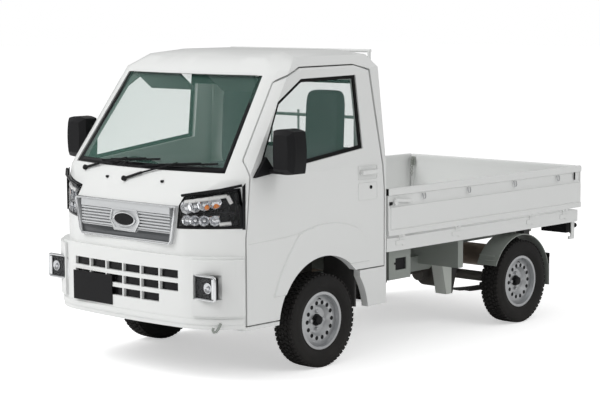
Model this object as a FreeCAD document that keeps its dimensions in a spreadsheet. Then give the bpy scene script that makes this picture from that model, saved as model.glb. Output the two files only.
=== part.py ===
import FreeCAD, Part
import os
import re
import Sketcher
from FreeCAD import Placement, Rotation, Vector

os.makedirs("parts", exist_ok=True)
doc = FreeCAD.newDocument("KeiTruck")
sheet = doc.addObject("Spreadsheet::Sheet", "Sizes")
nodes = {}

# Driving dimensions in millimetres, degrees or copies: x across with the truck's left positive,
# y along with the front negative, z up
SIZES = {
    # Main sizes
    "half_length": 1697.5,
    "half_width": 737.5,
    "top_height": 1780,
    "front_axle_y": -833,
    "rear_axle_y": 1067,
    "wheel_x": 650,
    "run_gap": 8,
    "seat_gap": 0.3,

    # Wheels
    "tyre_radius": 268,
    "tyre_width": 145,
    "rim_radius": 155,
    "rim_lip": 12,
    "rim_width": 112,
    "rim_wall": 6,
    "disc_radius": 128,
    "disc_dish": 24,
    "vent_count": 14,
    "vent_radius": 9,
    "vent_circle": 102,
    "vent_land": 2,
    "disc_crest_x": 38,
    "disc_fall": 12,
    "disc_recess": 74,
    "hub_bore": 27,
    "hub_play": 2,
    "tyre_bulge": 10,
    "tyre_shoulder": 18,
    "nut_high": 12,
    "hub_radius": 34,
    "nut_count": 4,
    "nut_radius": 9,
    "nut_circle": 50,

    # Cab outer form, from the sill to the crown
    "cab_half": 730,
    "cab_low_z": 296,
    "nose_z": 970,
    "cowl_z": 1120,
    "cant_z": 1680,
    "crown_z": 1752,
    "cab_rear_y": -300,
    "nose_round": 22,
    "cowl_round": 8,
    "nose_y": -1652,
    "nose_half": 430,
    "nose_bow": 22,
    "nose_side_y": -1457,
    "cowl_y": -1512,
    "cowl_half": 622,
    "cowl_bow": 84,
    "cowl_side_y": -1432,
    "cowl_side_half": 729,
    "cant_y": -1116,
    "cant_half": 560,
    "cant_bow": 60,
    "cant_side_half": 664,
    "cant_side_y": -1046,
    "crown_y": -1020,
    "crown_half": 470,
    "crown_side_half": 590,
    "crown_side_y": -930,
    "crown_rear_y": -325,
    "roof_y": -870,
    "roof_half": 330,
    "roof_side_half": 430,
    "roof_side_y": -800,
    "roof_rear_y": -400,
    "cab_wall": 48,
    "roof_wall": 34,

    # Front wheel arch, door seam and side window
    "arch_radius": 372,
    "arch_rear_y": -531,
    "door_front_y": -1453,
    "door_low_z": 325,
    "door_step_z": 530,
    "door_rear_y": -322,
    "door_waist_z": 800,
    "door_rear_high_y": -364,
    "door_top_z": 1694,
    "door_top_front_y": -950,
    "door_top_rear_y": -500,
    "door_corner_z": 1662,
    "pillar_foot_y": -1411,
    "pillar_foot_z": 1215,
    "pillar_head_y": -1146,
    "pillar_head_z": 1604,
    "high_seam_extra": 7,
    "window_low_front_y": -1372,
    "window_low_front_z": 1122,
    "window_low_rear_z": 1222,
    "window_rear_y": -494,
    "window_top_z": 1640,
    "window_top_front_y": -960,
    "window_bend_y": -1160,
    "window_bend_z": 1513,
    "glass_thick": 6,
    "flare_stand": 7,
    "flare_front_y": -1251,
    "flare_front_z": 453,
    "flare_knee_y": -1042,
    "flare_knee_z": 784,
    "flare_crown_z": 824,
    "flare_rear_y": -555,
    "flare_rear_z": 776,
    "flare_end_y": -450,
    "flare_end_z": 568,

    # Front: lamps, grille, bumper, windshield
    "lamp_in_half": 424,
    "lamp_low_half": 401,
    "lamp_top_z": 1024,
    "lamp_side_top_z": 1076,
    "lamp_low_z": 846,
    "lamp_rear_y": -1470,
    "grille_top_z": 967,
    "grille_low_z": 758,
    "grille_top_half": 412,
    "grille_low_half": 370,
    "grille_deep": 40,
    "grille_bar": 10,
    "grille_bar_count": 6,
    "slat_top_z": 918,
    "slat_low_z": 818,
    "slat_thick": 8,
    "slat_set": 6,
    "hex_half": 121,
    "hex_top_half": 104,
    "hex_low_half": 82,
    "hex_mid_z": 858,
    "hex_low_z": 806,
    "hex_rim": 9,
    "emblem_half": 86,
    "emblem_z": 868,
    "bumper_top_z": 700,
    "bumper_low_z": 335,
    "bumper_side_y": -1475,
    "bumper_half": 450,
    "bumper_bow": 22,
    "bumper_wall": 42,
    "intake_half": 430,
    "intake_low_half": 290,
    "intake_top_z": 622,
    "intake_high": 46,
    "intake_step": 70,
    "fog_x": 606,
    "fog_z": 542,
    "fog_radius": 52,
    "fog_half_wide": 78,
    "fog_half_high": 66,
    "plate_wide": 330,
    "plate_high": 165,
    "plate_x": -253,
    "plate_z": 462,
    "plate_thick": 5,
    "shield_low_half": 612,
    "shield_top_half": 548,
    "shield_low_z": 1142,
    "shield_top_z": 1652,
    "rear_glass_half": 520,
    "rear_glass_low_z": 1180,
    "rear_glass_top_z": 1600,

    # Mirrors, handles and small front pieces
    "mirror_foot": 130,
    "mirror_foot_thick": 22,
    "mirror_arm_y": -1292,
    "mirror_arm_z": 1150,
    "mirror_arm_radius": 13,
    "mirror_x": 850,
    "mirror_y": -1262,
    "mirror_z": 1255,
    "mirror_wide": 150,
    "mirror_high": 226,
    "mirror_thick": 118,
    "mirror_bulge": 12,
    "mirror_bevel": 30,
    "handle_y": -465,
    "handle_z": 1072,
    "handle_long": 140,
    "handle_high": 26,
    "handle_thick": 14,
    "handle_stand": 22,
    "intake_bar": 10,
    "bumper_front": 1693,
    "grille_stand": 26,
    "fog_face_y": -1612,
    "fog_plate": 8,

    # Bed
    "bed_front_y": -284.5,
    "gate_top_z": 973,
    "gate_low_z": 695,
    "gate_thick": 26,
    "gate_skin": 8,
    "gate_rail_high": 40,
    "gate_foot_high": 30,
    "gate_recess_high": 60,
    "gate_shoulder": 22,
    "gate_crease": 4,
    "deck_z": 658,
    "deck_thick": 24,
    "sill_half": 722,
    "sill_high": 58,
    "sill_thick": 30,
    "sill_lip": 20,
    "sill_rear_inset": 15.5,
    "beam_first": 140,
    "beam_pitch": 300,
    "beam_wide": 44,
    "beam_high": 34,
    "beam_count": 6,
    "gate_step": 12,
    "gate_cap_long": 10,
    "gate_hinge_first": -162,
    "gate_hinge_second": 373,
    "gate_hinge_third": 1145,
    "gate_hinge_fourth": 1516,
    "tail_hinge_x": 520,
    "hinge_z": 686,
    "hinge_radius": 4,
    "hinge_inset": 4,
    "hinge_half": 18,
    "hinge_plate": 2.5,
    "board_thick": 22,
    "guard_tube": 10,
    "guard_half": 565,
    "guard_y": -262,
    "lamp_wide": 200,
    "lamp_high": 80,
    "tail_lamp_z": 560,
    "tail_lamp_x": 560,
    "tail_deep": 42,

    # Running gear and frame
    "rail_x": 350,
    "rail_wide": 56,
    "rail_high": 92,
    "rail_nose_z": 296,
    "arm_low_z": 152,
    "arm_thick": 22,
    "arm_high_z": 364,
    "arm_half": 20,
    "arm_end": 18,
    "arm_post": 30,
    "strut_x": 530,
    "rack_ahead": 150,
    "rack_radius": 22,
    "drum_radius": 86,
    "drum_wide": 30,
    "cap_reach": 24,
    "spring_arch": 26,
    "spring_low_z": 212,
    "hanger_foot": 60,
    "rail_low_z": 376,
    "rail_rear_z": 508,
    "rail_kick_y": 540,
    "rail_kick_end_y": 800,
    "rail_front_y": -1600,
    "rail_rear_y": 1640,
    "cross_thick": 50,
    "axle_radius": 32,
    "diff_radius": 105,
    "spring_wide": 50,
    "spring_leaf": 8,
    "spring_leaves": 3,
    "spring_half": 430,
    "spring_x": 440,
    "king_x": 600,
    "king_radius": 24,
    "strut_radius": 26,
    "prop_radius": 32,
    "engine_wide": 430,
    "engine_long": 520,
    "engine_high": 300,
    "engine_y": -640,
    "engine_low_z": 270,
    "tank_wide": 300,
    "tank_long": 390,
    "tank_high": 190,
    "tank_y": 20,
    "tank_low_z": 330,
    "pipe_x": 230,
    "pipe_z": 350,
    "pipe_radius": 20,
    "muffler_y": 1410,
    "muffler_radius": 75,
    "muffler_long": 480,

    "tray_x": 600,
    "tray_y": -215,
    "tray_z": 420,
    "tray_deep": 80,
    "tray_long": 200,
    "tray_high": 180,
    "tray_wall": 12,
    "mud_radius": 306,
    "mud_front_turn": 25,
    "mud_rear_turn": 15,
    "flap_reach_share": 0.966,
    "flap_rise_share": 0.2588,
    "mud_thick": 5,
    "mud_x": 566,
    "mud_wide": 150,
    "flap_low_z": 215,
    "corner_x": 690,

    # Cabin
    "well_x": 440,
    "splash_gap": 0.8,
    "dash_low_z": 800,
    "dash_face_y": -1300,
    "dash_tuck": 50,
    "dash_top_z": 1105,
    "hub_high": 60,
    "spoke_wide": 34,
    "column_radius": 30,
    "column_long": 260,
    "seat_sink": 30,
    "back_lean": 60,
    "head_high": 130,
    "inside_mirror_y": -1040,
    "inside_mirror_z": 1610,
    "inside_mirror_rise": 99,
    "floor_thick": 24,
    "foot_z": 350,
    "riser_y": -1216,
    "seat_deck_z": 655,
    "seat_x": 350,
    "seat_wide": 480,
    "cushion_high": 130,
    "cushion_long": 480,
    "cushion_front_y": -1010,
    "back_high": 560,
    "back_thick": 110,
    "head_wide": 250,
    "wheel_rim_radius": 185,
    "wheel_rim_tube": 14,
    "column_x": -350,
    "column_y": -1130,
    "column_z": 1035,
    "column_lean": 40,
}
for row, (name, amount) in enumerate(SIZES.items(), 1):
    sheet.set(f"A{row}", name)
    sheet.set(f"B{row}", str(amount))
    sheet.setAlias(f"B{row}", name)
doc.recompute()

TURN = {
    "x": Rotation(Vector(0, 1, 0), 90),
    "y": Rotation(Vector(1, 0, 0), -90),
    "z": Rotation(),
}
AXES = ("x", "y", "z")
SIDES = {"left": 1, "right": -1}


def bound(text):
    """Give each size's name the form in which its cell is referred to."""
    return re.sub(r"[a-z]+(?:_[a-z]+)+", r"Sizes.\g<0>", str(text))


def value(text):
    """Work out an expression of named sizes as a number."""
    result = reader.evalExpression(bound(text))
    return float(getattr(result, "Value", result))


def bind(item, prop, text):
    """Tie one property to the named sizes."""
    item.setExpression(prop, bound(text))


def seat(item, place):
    """Put an object's own origin at a place written in named sizes."""
    for axis, text in zip(AXES, place):
        bind(item, f"Placement.Base.{axis}", text)
    return item


def box(name, low, extent):
    """A block from its lowest corner and its three lengths."""
    item = doc.addObject("Part::Box", name)
    for prop, text in zip(("Length", "Width", "Height"), extent):
        bind(item, prop, text)
    return seat(item, low)


def block(name, centre, extent):
    """A block about a centre across x and y, standing on its lowest z."""
    low = (f"{centre[0]} - ({extent[0]}) / 2", f"{centre[1]} - ({extent[1]}) / 2", centre[2])
    return box(name, low, extent)


def rod(name, start, axis, radius, length):
    """A round bar from the middle of its first end along one axis."""
    item = doc.addObject("Part::Cylinder", name)
    bind(item, "Radius", radius)
    bind(item, "Height", length)
    item.Placement = Placement(Vector(), TURN[axis])
    return seat(item, start)


def join(name, parts):
    """Fuse pieces that are welded together."""
    item = doc.addObject("Part::MultiFuse", name)
    item.Shapes = parts
    item.Refine = True
    return item


def minus(name, base, tool):
    """Cut a tool out of a piece."""
    item = doc.addObject("Part::Cut", name)
    item.Base = base
    item.Tool = tool
    return item


def shared(name, base, tool):
    """Keep what two forms have in common."""
    item = doc.addObject("Part::Common", name)
    item.Base = base
    item.Tool = tool
    return item


def mirrored(name, source):
    """The same piece on the other side of the truck."""
    item = doc.addObject("Part::Mirroring", name)
    item.Source = source
    item.Normal = Vector(1, 0, 0)
    return item


def group(name, parts):
    """Like pieces of one node that don't touch."""
    item = doc.addObject("Part::Compound", name)
    item.Links = parts
    return item


def node(label, item):
    """Name a finished sub-part."""
    item.Label = label
    nodes[label] = item
    return item


def plane_of(body, role):
    """One of a body's own origin planes."""
    return [item for item in body.Origin.OriginFeatures if item.Role == role][0]


def outline(body, name, plane, points, offset="0"):
    """A closed sketch; a point marked arc is the middle of the arc between its neighbours."""
    sketch = body.newObject("Sketcher::SketchObject", name)
    sketch.AttachmentSupport = (plane_of(body, plane), [""])
    sketch.MapMode = "FlatFace"
    bind(sketch, "AttachmentOffset.Base.z", offset)
    spots = [Vector(value(point[0]), value(point[1]), 0) for point in points]
    corners = [index for index, point in enumerate(points) if len(point) == 2]
    for order, index in enumerate(corners):
        after = corners[(order + 1) % len(corners)]
        middle = (index + 1) % len(points)
        if middle == after:
            sketch.addGeometry(Part.LineSegment(spots[index], spots[after]), False)
        else:
            sketch.addGeometry(Part.Arc(spots[index], spots[middle], spots[after]), False)
    tie_corners(sketch, [points[index] for index in corners])
    return sketch


def tie_corners(sketch, corners):
    """Close a sketch's outline and tie each corner to its named place."""
    count = len(corners)
    ends = [edge_ends(sketch, index) for index in range(count)]
    for index in range(count):
        after = (index + 1) % count
        link = Sketcher.Constraint("Coincident", index, ends[index][1], after, ends[after][0])
        sketch.addConstraint(link)
    for index, corner in enumerate(corners):
        for kind, text in zip(("DistanceX", "DistanceY"), corner):
            link = Sketcher.Constraint(kind, -1, 1, index, ends[index][0], value(text))
            number = sketch.addConstraint(link)
            sketch.setExpression(f"Constraints[{number}]", bound(text))


def edge_ends(sketch, index):
    """Which end of an edge comes first: an arc is stored counter-clockwise."""
    edge = sketch.Geometry[index]
    if isinstance(edge, Part.ArcOfCircle) and edge.Circle.Axis.z * edge_turn(edge, sketch, index) < 0:
        return 2, 1
    return 1, 2


def edge_turn(edge, sketch, index):
    """Whether an arc starts where the edge before it ends."""
    before = sketch.Geometry[index - 1]
    start = edge.StartPoint
    near = min((start - before.StartPoint).Length, (start - before.EndPoint).Length)
    return 1 if near < 0.001 else -1


def body_of(name):
    """An empty body."""
    return doc.addObject("PartDesign::Body", name)


def pad(body, sketch, length, middle=False, back=False):
    """Extrude a sketch into a body."""
    item = body.newObject("PartDesign::Pad", sketch.Name + "Pad")
    item.Profile = sketch
    bind(item, "Length", length)
    item.Midplane = middle
    item.Reversed = back
    return item


def prism(name, plane, points, length, offset="0", middle=False):
    """A body padded from one outline."""
    body = body_of(name)
    pad(body, outline(body, name + "Outline", plane, points, offset), length, middle)
    return body


reader = doc.addObject("App::FeaturePython", "Reader")


def ring(body, name, level, side, side_y, front, front_y, bow, rear_y, bend):
    """One level of the cab's plan: bowed front, rounded corners, straight sides and back."""
    across = f"(({front}) + ({side})) / 2 + ({bend}) * 0.6"
    along = f"(({front_y}) + ({side_y})) / 2 - ({bend}) * 0.8"
    points = [
        (front, front_y),
        (across, along, "arc"),
        (side, side_y),
        (side, rear_y),
        (f"-({side})", rear_y),
        (f"-({side})", side_y),
        (f"-({across})", along, "arc"),
        (f"-({front})", front_y),
        ("0", f"({front_y}) - ({bow})", "arc"),
    ]
    return outline(body, name, "XY_Plane", points, level)


def cab_form(name, inset, drop, foot="0"):
    """The closed outer form of the cab, drawn in by an inset all round."""
    body = body_of(name)
    levels = [
        ("Sill", f"cab_low_z - {foot}", "cab_half", "nose_side_y", "nose_half", "nose_y",
         "nose_bow", "cab_rear_y", "nose_round"),
        ("Nose", "nose_z", "cab_half", "nose_side_y", "nose_half", "nose_y",
         "nose_bow", "cab_rear_y", "nose_round"),
        ("Cowl", "cowl_z", "cowl_side_half", "cowl_side_y", "cowl_half", "cowl_y",
         "cowl_bow", "cab_rear_y", "cowl_round"),
        ("Cant", f"cant_z - {drop} / 2", "cant_side_half", "cant_side_y", "cant_half", "cant_y",
         "cant_bow", "cab_rear_y", "cowl_round"),
        ("Crown", f"crown_z - {drop}", "crown_side_half", "crown_side_y", "crown_half", "crown_y",
         "cant_bow", "crown_rear_y", "cowl_round"),
        ("Roof", f"top_height - {drop}", "roof_side_half", "roof_side_y", "roof_half", "roof_y",
         "cant_bow / 2", "roof_rear_y", "cowl_round"),
    ]
    sketches = []
    for title, level, side, side_y, front, front_y, bow, rear_y, bend in levels:
        sketches.append(ring(body, name + title, level, f"{side} - {inset}", f"{side_y} + {inset}",
                             f"{front} - {inset} / 2", f"{front_y} + {inset}", bow,
                             f"{rear_y} - {inset}", bend))
    loft = body.newObject("PartDesign::AdditiveLoft", name + "Loft")
    loft.Profile = sketches[0]
    loft.Sections = sketches[1:]
    loft.Ruled = True
    return body


def side_form(name, inset):
    """The space between the two sides of the cab, which follow the lean of the windows."""
    points = [
        (f"cab_half - {inset}", "cab_low_z - run_gap"),
        (f"cowl_side_half - {inset}", "cowl_z"),
        (f"cant_side_half - {inset}", "cant_z"),
        (f"crown_side_half - {inset}", "crown_z"),
    ]
    across = [(f"-({x})", z) for x, z in reversed(points)]
    return prism(name, "XZ_Plane", points + across, "half_length")


def door_region(name, grow, rear_grow):
    """The door's outline in side view, from outside the skin to well inside the cab."""
    points = [
        (f"door_front_y - {grow}", f"door_low_z - {grow}"),
        (f"door_front_y - {grow}", "door_waist_z"),
        (f"pillar_foot_y - {grow}", "pillar_foot_z"),
        (f"pillar_head_y - {grow}", f"pillar_head_z + {grow} / 2"),
        (f"(pillar_head_y + door_top_front_y) / 2 - {grow}",
         f"(pillar_head_z + door_top_z) / 2 + {grow} + cowl_round / 2", "arc"),
        ("door_top_front_y", f"door_top_z - cowl_round / 2 + {grow}"),
        ("door_top_rear_y", f"door_top_z + {grow}"),
        (f"door_rear_high_y - cab_wall / 2 + {rear_grow}", f"door_corner_z + {grow}"),
        (f"door_rear_high_y + {rear_grow}", "(door_corner_z + cowl_z) / 2"),
        (f"door_rear_y + {grow} / 2 + ({rear_grow}) / 2", "nose_z"),
        (f"door_rear_y + {grow}", f"door_step_z - {grow}"),
        ("front_axle_y", f"door_step_z - {grow}"),
        ("front_axle_y", f"door_low_z - {grow}"),
    ]
    return prism(name, "YZ_Plane", points, "cab_half / 2", "cab_half * 3 / 4")


def window_region(name, grow):
    """The side window's outline in side view."""
    points = [
        (f"window_low_front_y - {grow}", f"window_low_front_z - {grow}"),
        (f"window_bend_y - {grow}", f"window_bend_z + {grow}"),
        (f"window_top_front_y - {grow}", f"window_top_z - cowl_round + {grow}"),
        (f"window_rear_y - cowl_round + {grow}", f"window_top_z + {grow}"),
        (f"window_rear_y + {grow}", f"window_low_rear_z - {grow}"),
    ]
    return prism(name, "YZ_Plane", points, "cab_half / 2", "cab_half * 3 / 4")


def front_region(name, low_half, top_half, low_z, top_z, start_y, end_y):
    """A symmetric opening seen from the front, from one y back to another."""
    points = [
        (low_half, low_z),
        (top_half, top_z),
        (f"-({top_half})", top_z),
        (f"-({low_half})", low_z),
    ]
    return prism(name, "XZ_Plane", points, f"({end_y}) - ({start_y})", f"-({end_y})")


def both_sides(name, item):
    """A form and its mirror image as one tool."""
    return group(name, [item, mirrored(name + "Mirror", item)])


def lamp_region(name):
    """The headlamp's place seen from the front, back to the door's front seam."""
    points = [
        ("lamp_in_half", "lamp_top_z"),
        ("lamp_low_half", "lamp_low_z"),
        ("half_width + run_gap", "lamp_low_z + run_gap"),
        ("half_width + run_gap", "lamp_side_top_z"),
    ]
    return prism(name, "XZ_Plane", points, "half_length + lamp_rear_y", "-lamp_rear_y")


# Cab shell: outer form less the cabin, the doors, the glass, the lamps and the wheel arches
outer = cab_form("CabOuter", "0", "0")
inner = cab_form("CabInner", "cab_wall", "roof_wall", "run_gap")
hollow = minus("CabHollow", outer, inner)
door_space = minus("DoorSpace", door_region("DoorSpaceRegion", "run_gap", "run_gap + high_seam_extra"),
                   side_form("DoorSpaceInner", "(cab_wall + run_gap)"))
arch_tool = rod("ArchTool", ("-cab_half - run_gap", "front_axle_y", "tyre_radius"), "x",
                "arch_radius", "(cab_half + run_gap) * 2")
shield_tool = front_region("ShieldTool", "shield_low_half", "shield_top_half", "shield_low_z",
                           "shield_top_z", "-half_length", "crown_y")
rear_glass_tool = front_region("RearGlassTool", "rear_glass_half", "rear_glass_half", "rear_glass_low_z",
                               "rear_glass_top_z", "cab_rear_y - cab_wall * 2", "cab_rear_y + cab_wall")
grille_tool = front_region("GrilleTool", "grille_low_half", "grille_top_half", "grille_low_z",
                           "grille_top_z", "-half_length", "nose_y + cab_wall * 2")
bumper_tool = box("BumperTool", ("-half_width", "-half_length", "0"),
                  ("half_width * 2", "half_length + bumper_side_y", "bumper_top_z"))
under_tool = box("UnderTool", ("cab_wall - cab_half", "front_axle_y", "0"),
                 ("(cab_half - cab_wall) * 2", "half_length", "door_step_z"))
quarter_tool = box("QuarterTool", ("-half_width", "front_axle_y", "0"),
                   ("half_width * 2", "half_length", "door_step_z - run_gap"))
lamp_tool = lamp_region("LampTool")
shell_tools = join("ShellTools", [
    both_sides("DoorSpaces", door_space),
    arch_tool,
    shield_tool,
    rear_glass_tool,
    grille_tool,
    bumper_tool,
    under_tool,
    quarter_tool,
    both_sides("LampTools", lamp_tool),
])
node("cab_shell", minus("CabShell", hollow, shell_tools))

# Quarter panels behind the front wheels, below the doors
quarter_box = box("QuarterBox", ("cab_half - cab_wall", "arch_rear_y", "cab_low_z + run_gap"),
                  ("cab_wall", "cab_rear_y - arch_rear_y", "door_step_z - run_gap - cab_low_z - run_gap"))
quarter = minus("QuarterLeft", quarter_box, rod("QuarterArch", ("cab_half / 2", "front_axle_y",
                "tyre_radius"), "x", "arch_radius", "cab_half"))
node("quarter_left", quarter)
node("quarter_right", mirrored("QuarterRight", quarter))

# Glass that doesn't move
shield_layer = minus("ShieldLayer", cab_form("ShieldFront", "(glass_thick * 2)", "0"),
                     cab_form("ShieldBack", "(glass_thick * 3)", "0", "run_gap"))
shield_place = front_region("ShieldPlace", "shield_low_half", "shield_top_half", "shield_low_z",
                            "shield_top_z", "-half_length", "cant_side_y")
node("windshield", shared("Windshield", shield_layer, shield_place))
node("rear_window", box("RearWindow", ("-rear_glass_half", "cab_rear_y - cab_wall / 2",
     "rear_glass_low_z"), ("rear_glass_half * 2", "glass_thick", "rear_glass_top_z - rear_glass_low_z")))


def door_of(side):
    """A door panel, its glass, its mirror and its handle on one side of the cab."""
    title = side.capitalize()
    sign = SIDES[side]
    skin = shared("DoorSkin" + title, outer, door_region("DoorRegion" + title, "0", "0"))
    raw = join("DoorRaw" + title, [skin, flare_of(title)])
    shaped = minus("DoorShaped" + title, raw, join("DoorCuts" + title, [
        side_form("DoorInner" + title, "cab_wall"),
        rod("DoorArch" + title, ("cab_half / 2", "front_axle_y", "tyre_radius"), "x",
            "arch_radius", "cab_half"),
        window_region("DoorWindow" + title, "0"),
    ]))
    pane = shared("Pane" + title, minus("PaneLayer" + title,
                  side_form("PaneOuter" + title, "glass_thick * 3"),
                  side_form("PaneInner" + title, "glass_thick * 4")),
                  window_region("PaneRegion" + title, "-seat_gap"))
    mirror_parts = mirror_of(title)
    handle = handle_of(title)
    for label, item in (("panel", shaped), ("glass", pane), ("mirror", mirror_parts), ("handle", handle)):
        if sign < 0:
            item = mirrored(f"Door{title}{label.capitalize()}Mirrored", item)
        node(f"door_{side}_{label}", item)


def mirror_of(title):
    """A mirror housing on its arm and triangular foot, at the front of the window sill."""
    foot_side = prism("MirrorFootSide" + title, "YZ_Plane", [
        ("window_low_front_y - mirror_foot / 4", "window_low_front_z - seat_gap * 4"),
        ("window_low_front_y + mirror_foot", "window_low_front_z + mirror_foot / 8"),
        ("window_low_front_y + mirror_foot / 2", "window_low_front_z + mirror_foot * 0.8"),
    ], "cab_half / 2", "cab_half * 3 / 4")
    layer = minus("MirrorFootLayer" + title, side_form("MirrorFootOuter" + title, "-mirror_foot_thick"),
                  side_form("MirrorFootInner" + title, "-seat_gap"))
    foot = shared("MirrorFoot" + title, layer, foot_side)
    arm = rod("MirrorArm" + title, ("cab_half + seat_gap", "mirror_arm_y", "mirror_arm_z"), "x",
              "mirror_arm_radius", "mirror_x - cab_half")
    housing = body_of("MirrorHousing" + title)
    face = outline(housing, "MirrorFace" + title, "XZ_Plane", [
        ("mirror_x - mirror_wide / 2", "mirror_z - mirror_high / 2"),
        ("mirror_x - mirror_wide / 2 - mirror_bulge / 2", "mirror_z", "arc"),
        ("mirror_x - mirror_wide / 2", "mirror_z + mirror_high / 2"),
        ("mirror_x", "mirror_z + mirror_high / 2 + mirror_bulge", "arc"),
        ("mirror_x + mirror_wide / 2", "mirror_z + mirror_high / 2"),
        ("mirror_x + mirror_wide / 2 + mirror_bulge", "mirror_z", "arc"),
        ("mirror_x + mirror_wide / 2", "mirror_z - mirror_high / 2"),
        ("mirror_x", "mirror_z - mirror_high / 2 - mirror_bulge / 2", "arc"),
    ], "-(mirror_y + mirror_thick / 2)")
    shell = pad(housing, face, "mirror_thick")
    doc.recompute()
    front = min(range(len(shell.Shape.Faces)), key=lambda index: shell.Shape.Faces[index].CenterOfMass.y)
    bevel = housing.newObject("PartDesign::Chamfer", "MirrorBevel" + title)
    bevel.Base = (shell, [f"Face{front + 1}"])
    bind(bevel, "Size", "mirror_bevel")
    housing.Tip = bevel
    return join("Mirror" + title, [foot, arm, housing])


def flare_of(title):
    """The raised form round the wheel arch, standing proud of the door's skin with a bevelled edge."""
    body = body_of("Flare" + title)
    sketch = outline(body, "FlareOutline" + title, "YZ_Plane", [
        ("flare_front_y", "flare_front_z"),
        ("(flare_front_y + flare_knee_y) / 2 - cowl_round * 3", "(flare_front_z + flare_knee_z) / 2", "arc"),
        ("flare_knee_y", "flare_knee_z"),
        ("(flare_knee_y + flare_rear_y) / 2", "flare_crown_z", "arc"),
        ("flare_rear_y", "flare_rear_z"),
        ("(flare_rear_y + flare_end_y) / 2 + cowl_round * 3", "(flare_rear_z + flare_end_z) / 2", "arc"),
        ("flare_end_y", "flare_end_z"),
        ("front_axle_y", "flare_end_z"),
        ("front_axle_y", "flare_front_z"),
    ], "cab_half - cab_wall / 2")
    raised = pad(body, sketch, "cab_wall / 2 + flare_stand")
    doc.recompute()
    faces = raised.Shape.Faces
    outer_face = max(range(len(faces)), key=lambda index: faces[index].CenterOfMass.x)
    bevel = body.newObject("PartDesign::Chamfer", "FlareBevel" + title)
    bevel.Base = (raised, [f"Face{outer_face + 1}"])
    bind(bevel, "Size", "flare_stand - seat_gap")
    body.Tip = bevel
    return body


def handle_of(title):
    """A pull bar on two feet."""
    bar = block("HandleBar" + title, ("cab_half + handle_stand", "handle_y", "handle_z"),
                ("handle_thick", "handle_long", "handle_high"))
    feet = [
        block(f"HandleFoot{title}{number}", ("cab_half + handle_stand / 2",
              f"handle_y + ({end}) * (handle_long - handle_high) / 2", "handle_z"),
              ("handle_stand", "handle_high", "handle_high"))
        for number, end in enumerate((-1, 1))
    ]
    return join("Handle" + title, [bar] + feet)


def lower_cells():
    """The openings of the bumper's three rows, with thin uprights left between them."""
    cells = []
    for row, (half, count) in enumerate((("intake_half", 6), ("intake_half", 6), ("intake_low_half", 4))):
        pitch = f"({half} * 2 / {count})"
        for place in range(count):
            low = (f"-({half}) + {pitch} * {place} + intake_bar / 2", "-half_length - run_gap",
                   f"intake_top_z - intake_high - intake_step * {row}")
            cells.append(box(f"Intake{row}Cell{place}", low,
                             (f"{pitch} - intake_bar", "bumper_wall * 3", "intake_high")))
    return cells


for side in SIDES:
    door_of(side)

# Headlamps
lamp_body = shared("LampLeft", hollow, lamp_region("LampPlace"))
node("headlamp_left", lamp_body)
node("headlamp_right", mirrored("LampRight", lamp_body))

# Upper grille: a tapered frame, horizontal bars and a plain oval plate
frame_outer = front_region("GrilleFrameOuter", "grille_low_half - seat_gap", "grille_top_half - seat_gap",
                           "grille_low_z + seat_gap", "grille_top_z - seat_gap",
                           "nose_y - grille_stand", "nose_y - grille_stand + grille_deep")
frame_inner = front_region("GrilleFrameInner", "grille_low_half - grille_bar", "grille_top_half - grille_bar",
                           "grille_low_z + grille_bar", "grille_top_z - grille_bar",
                           "-half_length", "cowl_y")
slat_x = "-grille_low_half + grille_bar / 2"
slat_wide = "(grille_low_half - grille_bar / 2) * 2"
slat_y = "nose_y - grille_stand + slat_set"
slat_pitch = "(slat_top_z - slat_low_z) / grille_bar_count"
bars = [
    box(f"GrilleBar{number}",
        (slat_x, slat_y, f"slat_low_z + {slat_pitch} * {number + 0.5} - slat_thick / 2"),
        (slat_wide, "grille_deep - slat_set * 2", "slat_thick"))
    for number in range(int(value("grille_bar_count")))
]
top_panel = box("GrilleTopPanel", (slat_x, "nose_y - grille_stand + slat_set / 2", "slat_top_z"),
                (slat_wide, "grille_deep / 2", "grille_top_z - grille_bar / 2 - slat_top_z"))
low_panel = box("GrilleLowPanel", (slat_x, "nose_y - grille_stand + slat_set * 2",
                                   "grille_low_z + grille_bar / 2"),
                (slat_wide, "grille_deep / 2", "slat_low_z - grille_low_z - grille_bar / 2"))
back_panel = box("GrilleBack", (slat_x, "nose_y - grille_stand + grille_deep / 2",
                                "grille_low_z + grille_bar / 2"),
                 (slat_wide, "grille_bar", "grille_top_z - grille_low_z - grille_bar"))


def hex_form(name, inset, start, deep):
    """The six-sided surround of the badge, drawn in by an inset, from a y back over a depth."""
    points = [
        (f"-hex_top_half + {inset}", f"slat_top_z + slat_set - {inset}"),
        (f"-hex_half + {inset}", "hex_mid_z"),
        (f"-hex_low_half + {inset}", f"hex_low_z + {inset}"),
        (f"hex_low_half - {inset}", f"hex_low_z + {inset}"),
        (f"hex_half - {inset}", "hex_mid_z"),
        (f"hex_top_half - {inset}", f"slat_top_z + slat_set - {inset}"),
    ]
    return prism(name, "XZ_Plane", points, deep, f"-({start}) - ({deep})")


surround = minus("HexSurround", hex_form("HexOuter", "0", "nose_y - grille_stand", "grille_deep / 2"),
                 hex_form("HexPocket", "hex_rim", "nose_y - grille_stand - run_gap", "run_gap + slat_set"))
emblem = prism("EmblemPlate", "XZ_Plane", [
    ("-emblem_half", "emblem_z"), ("0", "emblem_z + emblem_half * 0.4", "arc"),
    ("emblem_half", "emblem_z"), ("0", "emblem_z - emblem_half * 0.4", "arc"),
], "grille_deep / 2", "-(nose_y - grille_stand + slat_set / 3) - grille_deep / 2")
node("upper_grille", join("UpperGrille", [minus("GrilleFrame", frame_outer, frame_inner), back_panel,
                                          top_panel,
                                          low_panel, surround, emblem] + bars))

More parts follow.
